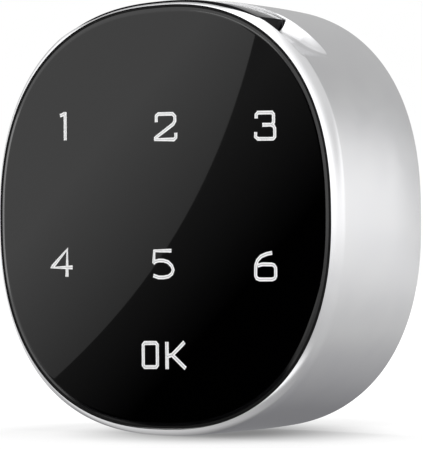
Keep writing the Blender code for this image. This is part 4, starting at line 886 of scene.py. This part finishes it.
def make_button(gloss):
    """Release button: a slice of the body's outline in the groove, with hooks and spring cups."""
    ends = (BUTTON_FRONT_Y - BUTTON_BLANK_OVERRUN, *BUTTON_MIDDLE_YS,
            BUTTON_REAR_Y + BUTTON_BLANK_OVERRUN)
    button = drawn("release_button_black", outline_angles(40, 140, 0.5, 4), BODY_EXPONENT,
                   [(BUTTON_HALF, y) for y in ends], capped=True)
    cleaned(button, 1e-7)
    section = [(BUTTON_FRONT_Y, BUTTON_BLANK_Z)]
    section += [(BUTTON_FRONT_Y + run, BUTTON_LOW_Z + rise) for run, rise in BUTTON_CORNER]
    section += [(BUTTON_REAR_Y - run, BUTTON_LOW_Z + rise) for run, rise in BUTTON_CORNER[::-1]]
    section += [(BUTTON_REAR_Y, BUTTON_BLANK_Z)]
    bored(button, profile_bar("groove_plug", section, BUTTON_HALF_LENGTH), "INTERSECT")
    broken_edges(button, BUTTON_EDGE, 3, 40)
    for side in (-1, 1):
        hook = profile_bar("button_hook", HOOK_OUTLINE, HOOK_HALF_WIDTH, side * HOOK_X)
        bored(button, hook, "UNION")
        clear_selection()
        cup_x, cup_y, cup_z = (part * MM for part in CUP_PLACE)
        bpy.ops.mesh.primitive_cylinder_add(vertices=48, radius=CUP_RADIUS * MM,
                                            depth=CUP_LENGTH * MM,
                                            location=(side * cup_x, cup_y, cup_z))
        bored(button, set_down(named("spring_cup")))
    return finished(button, gloss, 30)


def make_coil(name, node, bright):
    """A return spring that is squeezed between the groove's floor and the button."""
    low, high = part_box(node)
    centre = (low + high) / 2
    wire = COIL_WIRE * MM
    reach = (high.x - low.x) / 2 - wire
    climb = high.z - low.z - 2 * wire
    path = []
    for index in range(COIL_TURNS * COIL_STEPS + 1):
        turn = 2 * math.pi * index / COIL_STEPS
        height = low.z + wire + climb * index / (COIL_TURNS * COIL_STEPS)
        path.append((centre.x + reach * math.cos(turn), centre.y + reach * math.sin(turn), height))
    coil = finished(set_down(bent_wire(name, wire, [path])), bright, 40)
    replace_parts(coil, node)
    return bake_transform(coil)


def flat_ring(name, size, look):
    """A washer with broken edges, from its bore, radius, low, high and edge."""
    inner, outer, low, high, edge = size
    stations = [(inner + edge, low), (outer - edge, low), (outer, low + edge),
                (outer, high - edge), (outer - edge, high), (inner + edge, high),
                (inner, high - edge), (inner, low + edge), (inner + edge, low)]
    return finished(turned(name, stations), look, 30)


def slab(name, outline, low, high):
    """A plate along y from an outline of (x, z) points."""
    return pushed_out(name, [(x, low, z) for x, z in outline], (0, high - low, 0))


def thread_radius(y, angle):
    """Radius of the barrel's helical thread, run out at both ends."""
    turn = (y / THREAD_PITCH - angle / (2 * math.pi)) % 1.0
    valley = abs(2 * turn - 1)
    crest = min(1.0, max(0.0, (valley - THREAD_FLAT) / (1 - 2 * THREAD_FLAT)))
    run_out = smooth_step(y, *THREAD_START)
    run_out *= 1 - smooth_step(y, BARREL_END - THREAD_RUN_OUT, BARREL_END)
    return BARREL_RADIUS - THREAD_DEPTH + THREAD_DEPTH * crest * run_out


def make_barrel(casting):
    """Flanged barrel: a helical thread between two milled flats, with the spindle's bore."""
    front = [(BORE_RADIUS, NECK_FRONT_Y), (NECK_RADIUS, NECK_FRONT_Y),
             (NECK_RADIUS, FLANGE_FRONT_Y), (FLANGE_RADIUS - FLANGE_EDGE, FLANGE_FRONT_Y),
             (FLANGE_RADIUS, FLANGE_FRONT_Y + FLANGE_EDGE), (FLANGE_RADIUS, -FLANGE_EDGE),
             (FLANGE_RADIUS - FLANGE_EDGE, 0)]
    thread = [(BARREL_RADIUS, y) for y in spaced(0.0, BARREL_END, THREAD_PITCH / THREAD_RINGS)]
    rear = [(BARREL_END_RADIUS, BARREL_END), (BORE_RADIUS + BORE_EDGE, BARREL_END),
            (BORE_RADIUS, BARREL_END - BORE_EDGE), (BORE_RADIUS, NECK_FRONT_Y)]
    angles = even_angles(BARREL_STEPS)
    barrel = drawn("threaded_barrel", angles, 2, front + thread + rear)
    for index, vertex in enumerate(barrel.data.vertices):
        ring, around = divmod(index, BARREL_STEPS)
        if 0 <= ring - len(front) < len(thread):
            reach = thread_radius(thread[ring - len(front)][1], angles[around])
            turn_to(vertex, reach, angles[around])
    cleaned(barrel)
    wide, long, _ = FLAT_CUTTER
    for side in (-1, 1):
        place = (side * (FLAT_HALF + wide / 2), long / 2 + EDGE_STEP, 0)
        bored(barrel, block("flat_cutter", place, FLAT_CUTTER))
    return finished(barrel, casting, 30)


def make_nut(steel):
    """Hexagon nut, its corners turned back on both faces and its bore countersunk."""
    low, high = NUT_LOW, NUT_HIGH
    corner = NUT_ACROSS_FLATS / math.sqrt(3)
    hexagon = [(corner * math.cos(angle), corner * math.sin(angle)) for angle in even_angles(6)]
    nut = slab("clamp_nut", hexagon, low, high)
    face = NUT_ACROSS_FLATS / 2 - NUT_FACE_INSET
    reach = corner + NUT_CORNER_REACH
    turning = [(face, low - NUT_FACE_PROUD), (reach, low + NUT_CORNER_DROP),
               (reach, high - NUT_CORNER_DROP), (face, high + NUT_FACE_PROUD)]
    bored(nut, turned("nut_turning", turning, capped=True), "INTERSECT")
    bore = [(NUT_MOUTH, low - NUT_MOUTH_OVERRUN), (NUT_BORE, low + NUT_MOUTH_DEPTH),
            (NUT_BORE, high - NUT_MOUTH_DEPTH), (NUT_MOUTH, high + NUT_MOUTH_OVERRUN)]
    bored(nut, turned("nut_bore", bore, capped=True))
    broken_edges(nut, NUT_EDGE, 2, 25)
    return finished(nut, steel, 30)


def arc(radius, middle_x, start, sweep, steps):
    """Points (x, z) along an arc about a middle on the x axis."""
    turns = [start + sweep * index / steps for index in range(steps + 1)]
    return [(radius * math.cos(turn) + middle_x, radius * math.sin(turn)) for turn in turns]


def make_cam(steel):
    """Pressed cam: hub and rounded tip joined by their common tangents, edges broken."""
    lean = math.acos((CAM_HUB - CAM_TIP) / CAM_REACH)
    outline = arc(CAM_HUB, 0, math.pi + lean, 2 * math.pi - 2 * lean, CAM_HUB_STEPS)
    outline += arc(CAM_TIP, -CAM_REACH, math.pi - lean, 2 * lean, CAM_TIP_STEPS)
    cam = slab("cam_plate", outline, CAM_LOW, CAM_HIGH)
    bored(cam, block("square_punch", (0, (CAM_LOW + CAM_HIGH) / 2, 0), CAM_SQUARE))
    broken_edges(cam, CAM_EDGE, 3, 40)
    return finished(cam, steel, 32)


def make_cam_screw(steel):
    """Pan head screw with a cross recess."""
    screw = turned("cam_screw_head", SCREW_STATIONS, SCREW_STEPS, capped=True)
    for wide, high in ((CROSS_LENGTH, CROSS_WIDTH), (CROSS_WIDTH, CROSS_LENGTH)):
        bored(screw, block("driver_tip", (0, CROSS_Y, 0), (wide, CROSS_DEPTH, high)))
    return finished(screw, steel, 30)


def make_foam_pad(foam):
    """Foam pad between the lock and the door, its cut edges a little crushed."""
    stations = [(FOAM_BORE, FOAM_FRONT_Y), (FOAM_BORE, -FOAM_BORE_EDGE),
                (FOAM_BORE + FOAM_BORE_EDGE, 0.0), (FOAM_HALF - FOAM_EDGE, 0.0),
                (FOAM_HALF, -FOAM_EDGE), (FOAM_HALF, FOAM_FRONT_Y), (FOAM_BORE, FOAM_FRONT_Y)]
    angles = outline_angles(0, 360, 1.5, 1)
    pad = drawn("foam_pad", angles, 2, stations)
    for index, vertex in enumerate(pad.data.vertices):
        ring, around = divmod(index, len(angles))
        if stations[ring][0] > FOAM_HALF - 1:
            reach = stations[ring][0] * squircle_reach(angles[around], BODY_EXPONENT)
            turn_to(vertex, reach, angles[around])
    return finished(cleaned(pad), foam, 40)


def stroke(name, mark, width, proud):
    """One figure as a bent line of ink: a round wire flattened onto the glass."""
    x, z, wide, high, pen = FIGURE_PLACES[mark]
    lean = (z - LEVEL_Z) * PRINT_LEAN
    placed = []
    for path in STROKE_SHARES[mark]:
        line = []
        for u, v in path:
            across = (u - 0.5) * (wide - pen)
            up = (v - 0.5) * (high - pen) - lean * across
            line.append(((x + across) * MM, 0, (z + up) * MM))
        placed.append(line)
    piece = bent_wire(name, width / 2 * MM, placed)
    bpy.ops.object.mode_set(mode="EDIT")
    bpy.ops.mesh.select_all(action="SELECT")
    flat = proud * 2 / width
    bpy.ops.transform.resize(value=(1, flat, 1), center_override=(0, 0, 0))
    bpy.ops.transform.translate(value=(0, FRONT_Y * MM, 0))
    bpy.ops.object.mode_set(mode="OBJECT")
    return set_down(piece)


def make_figures(white, core):
    """The printed figures, each with a duller line along its strokes."""
    pieces = []
    for mark, place in FIGURE_PLACES.items():
        pen = place[-1]
        ink = stroke("figure_" + mark, mark, pen, PRINT_PROUD)
        ink.data.materials.append(white)
        inner = stroke("figure_core_" + mark, mark, pen * CORE_SHARE, CORE_PROUD)
        inner.data.materials.append(core)
        pick(ink, inner)
        bpy.ops.object.join()
        pieces.append(smooth(ink, 40))
    return pieces


def background(tree, strength):
    """White light of a strength."""
    inputs = {"Color": (1, 1, 1, 1), "Strength": strength}
    return add_node(tree, "Background", "Background", inputs)


def world_light():
    """White to the camera, an even soft light, and a studio of soft panels to gloss."""
    world = bpy.data.worlds.new("studio")
    bpy.context.scene.world = world
    world.use_nodes = True
    tree = world.node_tree
    tree.nodes.clear()
    way = add_node(tree, "TexCoord", "Generated", {})
    strength = 1.0
    for zone in STUDIO_ZONES:
        strength = arithmetic(tree, "MULTIPLY", strength, slope(tree, way, *zone))
    rays = tree.nodes.new("ShaderNodeLightPath").outputs
    lit = blended(tree, mirrored(tree, rays), background(tree, SOFT_LIGHT),
                  background(tree, strength))
    seen = blended(tree, rays["Is Camera Ray"], lit, background(tree, WHITE_LIGHT))
    output = tree.nodes.new("ShaderNodeOutputWorld")
    tree.links.new(seen, output.inputs["Surface"])


def open_strip(tree, place):
    """1 on the floor ahead of the glass, where its mirror looks through to the cards."""
    split = split_place(tree, place)
    bowed = arithmetic(tree, "MULTIPLY", arithmetic(tree, "ABSOLUTE", split["X"]), STRIP_BOW)
    reach = arithmetic(tree, "ADD", bowed, split["Y"])
    ahead = ranged(tree, reach, *STRIP_ZONE, easing="SMOOTHSTEP")
    past_end = slope(tree, place, STRIP_END_WAY, *STRIP_END_ZONE)
    return arithmetic(tree, "MULTIPLY", ahead, arithmetic(tree, "SUBTRACT", 1.0, past_end))


def white_round_painted_shadow(tree, place):
    """The floor's white glow to the camera, held back near the lock so that it paints a soft
    contact shadow under it.
    """
    away = vector_math(tree, "LENGTH", vector_math(tree, "SUBTRACT", place, PAINTED_SHADOW_MIDDLE))
    near = ranged(tree, away, *PAINTED_SHADOW_REACH, easing="SMOOTHSTEP")
    beyond = ranged(tree, away, *BEYOND_REACH, easing="SMOOTHSTEP")
    return arithmetic(tree, "ADD", near, beyond)


def painted_floor_shadow_to_gloss(tree, place):
    """What gloss sees of the floor: a painted shadow, dark under the lock, and lighter outwards and
    in front.
    """
    flat = vector_math(tree, "MULTIPLY", vector_math(tree, "ADD", place, TONE_CENTRE), TONE_SQUEEZE)
    around = tree.nodes.new("ShaderNodeValToRGB")
    share = ranged(tree, vector_math(tree, "LENGTH", flat), 0, TONE_REACH)
    tree.links.new(share, around.inputs["Fac"])
    stops = around.color_ramp.elements
    stops[0].color = TONE_MIDDLE
    for position, tone, blue in TONE_SHARES:
        stops.new(position).color = (tone, tone, tone * blue, 1)
    split = split_place(tree, place)
    front = arithmetic(tree, "MULTIPLY", ranged(tree, split["Y"], *FRONT_TONE_ZONE),
                       ranged(tree, split["X"], *FRONT_TONE_SLANT))
    colour = add_node(tree, "Mix", "Result",
                      {"Factor": 1.0, "A": around.outputs["Color"], "B": front},
                      data_type="RGBA", blend_type="LIGHTEN")
    way = vector_math(tree, "NORMALIZE", place)
    fall = arithmetic(tree, "MULTIPLY", slope(tree, way, BEHIND, *TONE_FALL_ZONE), TONE_FALL)
    return glow(tree, arithmetic(tree, "SUBTRACT", TONE_STRENGTH, fall), colour)


def floor_material():
    """Pale floor that keeps the lock's real shadow and stays white to the camera around it, with a
    painted contact shadow under the lock.
    """
    material, tree = bare_material("pale_floor")
    place = object_place(tree)
    rays = tree.nodes.new("ShaderNodeLightPath").outputs
    own_tone = ranged(tree, rays["Is Camera Ray"], *OWN_TONE)
    matt = add_node(tree, "BsdfDiffuse", "BSDF", {"Color": own_tone})
    # painted contact shadow: the white glow fades out near the lock
    white = arithmetic(tree, "MULTIPLY", rays["Is Camera Ray"], white_round_painted_shadow(tree, place))
    seen = add_node(tree, "AddShader", "Shader", {0: matt, 1: glow(tree, white)})
    clear = add_node(tree, "BsdfTransparent", "BSDF", {})
    # gloss sees the floor's painted shadow, except where it looks through the floor ahead of the
    # glass
    gloss = blended(tree, open_strip(tree, place), painted_floor_shadow_to_gloss(tree, place), clear)
    end_material(tree, blended(tree, mirrored(tree, rays), seen, gloss))
    return material


def card_material(name, direction, start, low, high):
    """A glowing card whose strength goes from low to high as direction . place passes start."""
    material, tree = bare_material(name)
    along = vector_math(tree, "DOT_PRODUCT", object_place(tree), direction)
    end_material(tree, glow(tree, ranged(tree, along, start, start + 1, low, high)))
    return material


def only_gloss(card):
    """A stage card that nothing but gloss sees."""
    for kind in ("camera", "diffuse", "transmission", "volume_scatter", "shadow"):
        setattr(card, "visible_" + kind, False)
    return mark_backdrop(card)


def strip_card(name, direction, distance, wide, high, strength):
    """A small bright card that the glass's polished strip mirrors, turned to face the lock."""
    way = Vector(direction).normalized()
    clear_selection()
    turn = way.to_track_quat("Z", "Y").to_euler()
    bpy.ops.mesh.primitive_plane_add(size=1, location=way * distance * MM, rotation=turn)
    card = named(name)
    card.scale = (wide * MM, high * MM, 1)
    set_down(card)
    card.data.materials.append(card_material(name, (0, 0, 1), 0, strength, strength))
    return only_gloss(card)


def make_card(name, outline, y, material):
    """An upright studio card from an outline of (x, z) points."""
    card = faced_outline(name, [(x, y, z) for x, z in outline])
    bpy.ops.object.mode_set(mode="OBJECT")
    card.data.materials.append(material)
    return only_gloss(card)


def light_outline():
    """Outline of the light card, whose right edge is a curve across the glass."""
    outline = []
    for height in range(CARD_TOP, CARD_LOW, -CARD_STEP):
        across = 0.0
        for term in EDGE_CURVE:
            across = across * height / 100 + term
        outline.append((across, height))
    return outline + [(CARD_LEFT, outline[-1][1]), (CARD_LEFT, CARD_TOP)]


def make_floor():
    """The floor, at the lock's lowest line."""
    clear_selection()
    bpy.ops.mesh.primitive_plane_add(size=FLOOR_SIZE, location=(0, 0, -BODY_HALF * MM))
    floor = set_down(named("floor"))
    floor.data.materials.append(floor_material())


def make_lamp():
    """A soft lamp overhead, which only the floor and matt pieces see."""
    bpy.ops.object.light_add(type="AREA", location=LAMP_PLACE)
    lamp = bpy.context.object
    lamp.name = "softbox"
    lamp.data.shape = "SQUARE"
    lamp.data.size = LAMP_SIZE
    lamp.data.energy = LAMP_WATTS
    lamp.rotation_euler = Vector(LAMP_PLACE).to_track_quat("Z", "Y").to_euler()
    lamp.visible_glossy = False


def make_camera():
    """A long lens ahead of the lock and to its right, a little below its middle."""
    camera = bpy.data.cameras.new("camera")
    camera.lens = CAMERA_LENS
    camera.sensor_width = 36
    camera.sensor_fit = "AUTO"
    camera.clip_start = CAMERA_NEAR
    stand = bpy.data.objects.new("camera", camera)
    stand.location = CAMERA_PLACE
    stand.rotation_euler = [math.radians(turn) for turn in CAMERA_TURN]
    bpy.context.collection.objects.link(stand)
    bpy.context.scene.camera = stand


def make_studio():
    """Camera, light, floor and the cards that the glass mirrors."""
    make_camera()
    world_light()
    make_floor()
    make_lamp()
    make_card("light_card", light_outline(), LIGHT_CARD_Y,
              card_material("light_card", LIGHT_SLOPE, LIGHT_START, 1.13, 0.41))
    make_card("dark_card", DARK_OUTLINE, DARK_CARD_Y,
              card_material("dark_card", DARK_SLOPE, DARK_START, 0.0, 0.21))
    strip_card("left_card", (-0.881, -0.471, 0.06), 420, 80, 120, 3.1)
    strip_card("upper_card", (-0.44, -0.825, 0.335), 560, 130, 60, 3.8)


def dress(material, *names):
    """Gives carried nodes a material."""
    for name in names:
        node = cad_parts[name]
        node.data.materials.clear()
        node.data.materials.append(material)


def dress_nodes(steel, casting, bright):
    """Materials for the nodes that the frame shows as they are."""
    brass = metal("brass", (0.74, 0.55, 0.26), (0.66, 0.47, 0.2), 0.26)
    opal = moulded("opal_plastic", (0.82, 0.83, 0.81), (0.78, 0.79, 0.77), 0.4)
    black = moulded("black_moulding", (0.025, 0.025, 0.026), (0.034, 0.034, 0.035), 0.46)
    acetal = moulded("white_acetal", (0.82, 0.81, 0.76), (0.77, 0.76, 0.71), 0.38)
    board = moulded("solder_mask", (0.012, 0.13, 0.05), (0.02, 0.17, 0.07), 0.3, 500)
    lens = moulded("led_lens", (0.9, 0.88, 0.66), (0.84, 0.82, 0.6), 0.2)
    wrap = moulded("cell_wrap", (0.03, 0.035, 0.05), (0.05, 0.055, 0.07), 0.28, 300)
    for number in range(1, 5):
        dress(steel, "board_screw_%d" % number, "chassis_screw_%d" % number)
    dress(steel, "base_plate", "motor_can", "motor_shaft", "idler_pin_1", "idler_pin_2", "stop_pin")
    dress(bright, "link_spring", "negative_spring")
    dress(casting, "spindle")
    dress(brass, "motor_pinion", "battery_link_plate", "positive_plate", "negative_plate")
    dress(opal, "light_guide")
    dress(black, "chassis", "contact_block", "position_switch", "controller_chip", "buzzer")
    dress(acetal, "motor_cap", "output_gear", "idler_gear_1", "idler_gear_2")
    dress(board, "touch_board")
    dress(lens, "led_1", "led_2", "led_3", "led_4", "led_5", "led_6", "led_ok")
    dress(wrap, "battery_upper", "battery_lower")


def fit(piece, node, body):
    """Puts a finished piece in its node's stead."""
    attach(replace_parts(piece, node), body)


def make_front():
    """Shell, glass, button, springs and printed figures. Returns the springs' metal."""
    fit(make_shell(satin_chrome()), "front_shell", "lock_body")
    fit(make_panel(black_glass(), glass_edge(), ground_edge()), "touch_panel", "lock_body")
    fit(make_button(button_gloss()), "release_button", "button_group")
    bright = metal("bright_wire", (0.66, 0.66, 0.68), (0.58, 0.58, 0.6), 0.2)
    make_coil("return_spring_left", "button_spring_left", bright)
    make_coil("return_spring_right", "button_spring_right", bright)
    for figure in make_figures(lit_print("lit_white", (0.86, 0.86, 0.86), 0.3),
                               lit_print("lit_core", (0.6, 0.6, 0.61), 0.2)):
        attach(figure, "lock_body")
    return bright


def make_door_side():
    """Barrel, foam pad, washers, nut, cam and screw. Returns the metals that nodes share."""
    steel = metal("zinc_plate", (0.60, 0.61, 0.63), (0.52, 0.53, 0.56), 0.3)
    casting = metal("plated_casting", (0.55, 0.55, 0.57), (0.48, 0.48, 0.5), 0.36, 1500)
    foam = moulded("foam", (0.04, 0.04, 0.042), (0.06, 0.06, 0.062), 0.9, 2600, 0.0001)
    fit(make_barrel(casting), "barrel", "lock_body")
    fit(make_foam_pad(foam), "foam_gasket", "lock_body")
    fit(flat_ring("clamp_washer", CLAMP_WASHER, steel), "barrel_washer", "lock_body")
    fit(make_nut(steel), "hex_nut", "lock_body")
    fit(make_cam(steel), "cam", "cam_group")
    fit(flat_ring("small_washer", CAM_WASHER, steel), "cam_washer", "cam_group")
    fit(make_cam_screw(steel), "cam_screw", "cam_group")
    return steel, casting


make_studio()
bright_wire = make_front()
dress_nodes(*make_door_side(), bright_wire)
bpy.context.scene.view_settings.view_transform = "Standard"
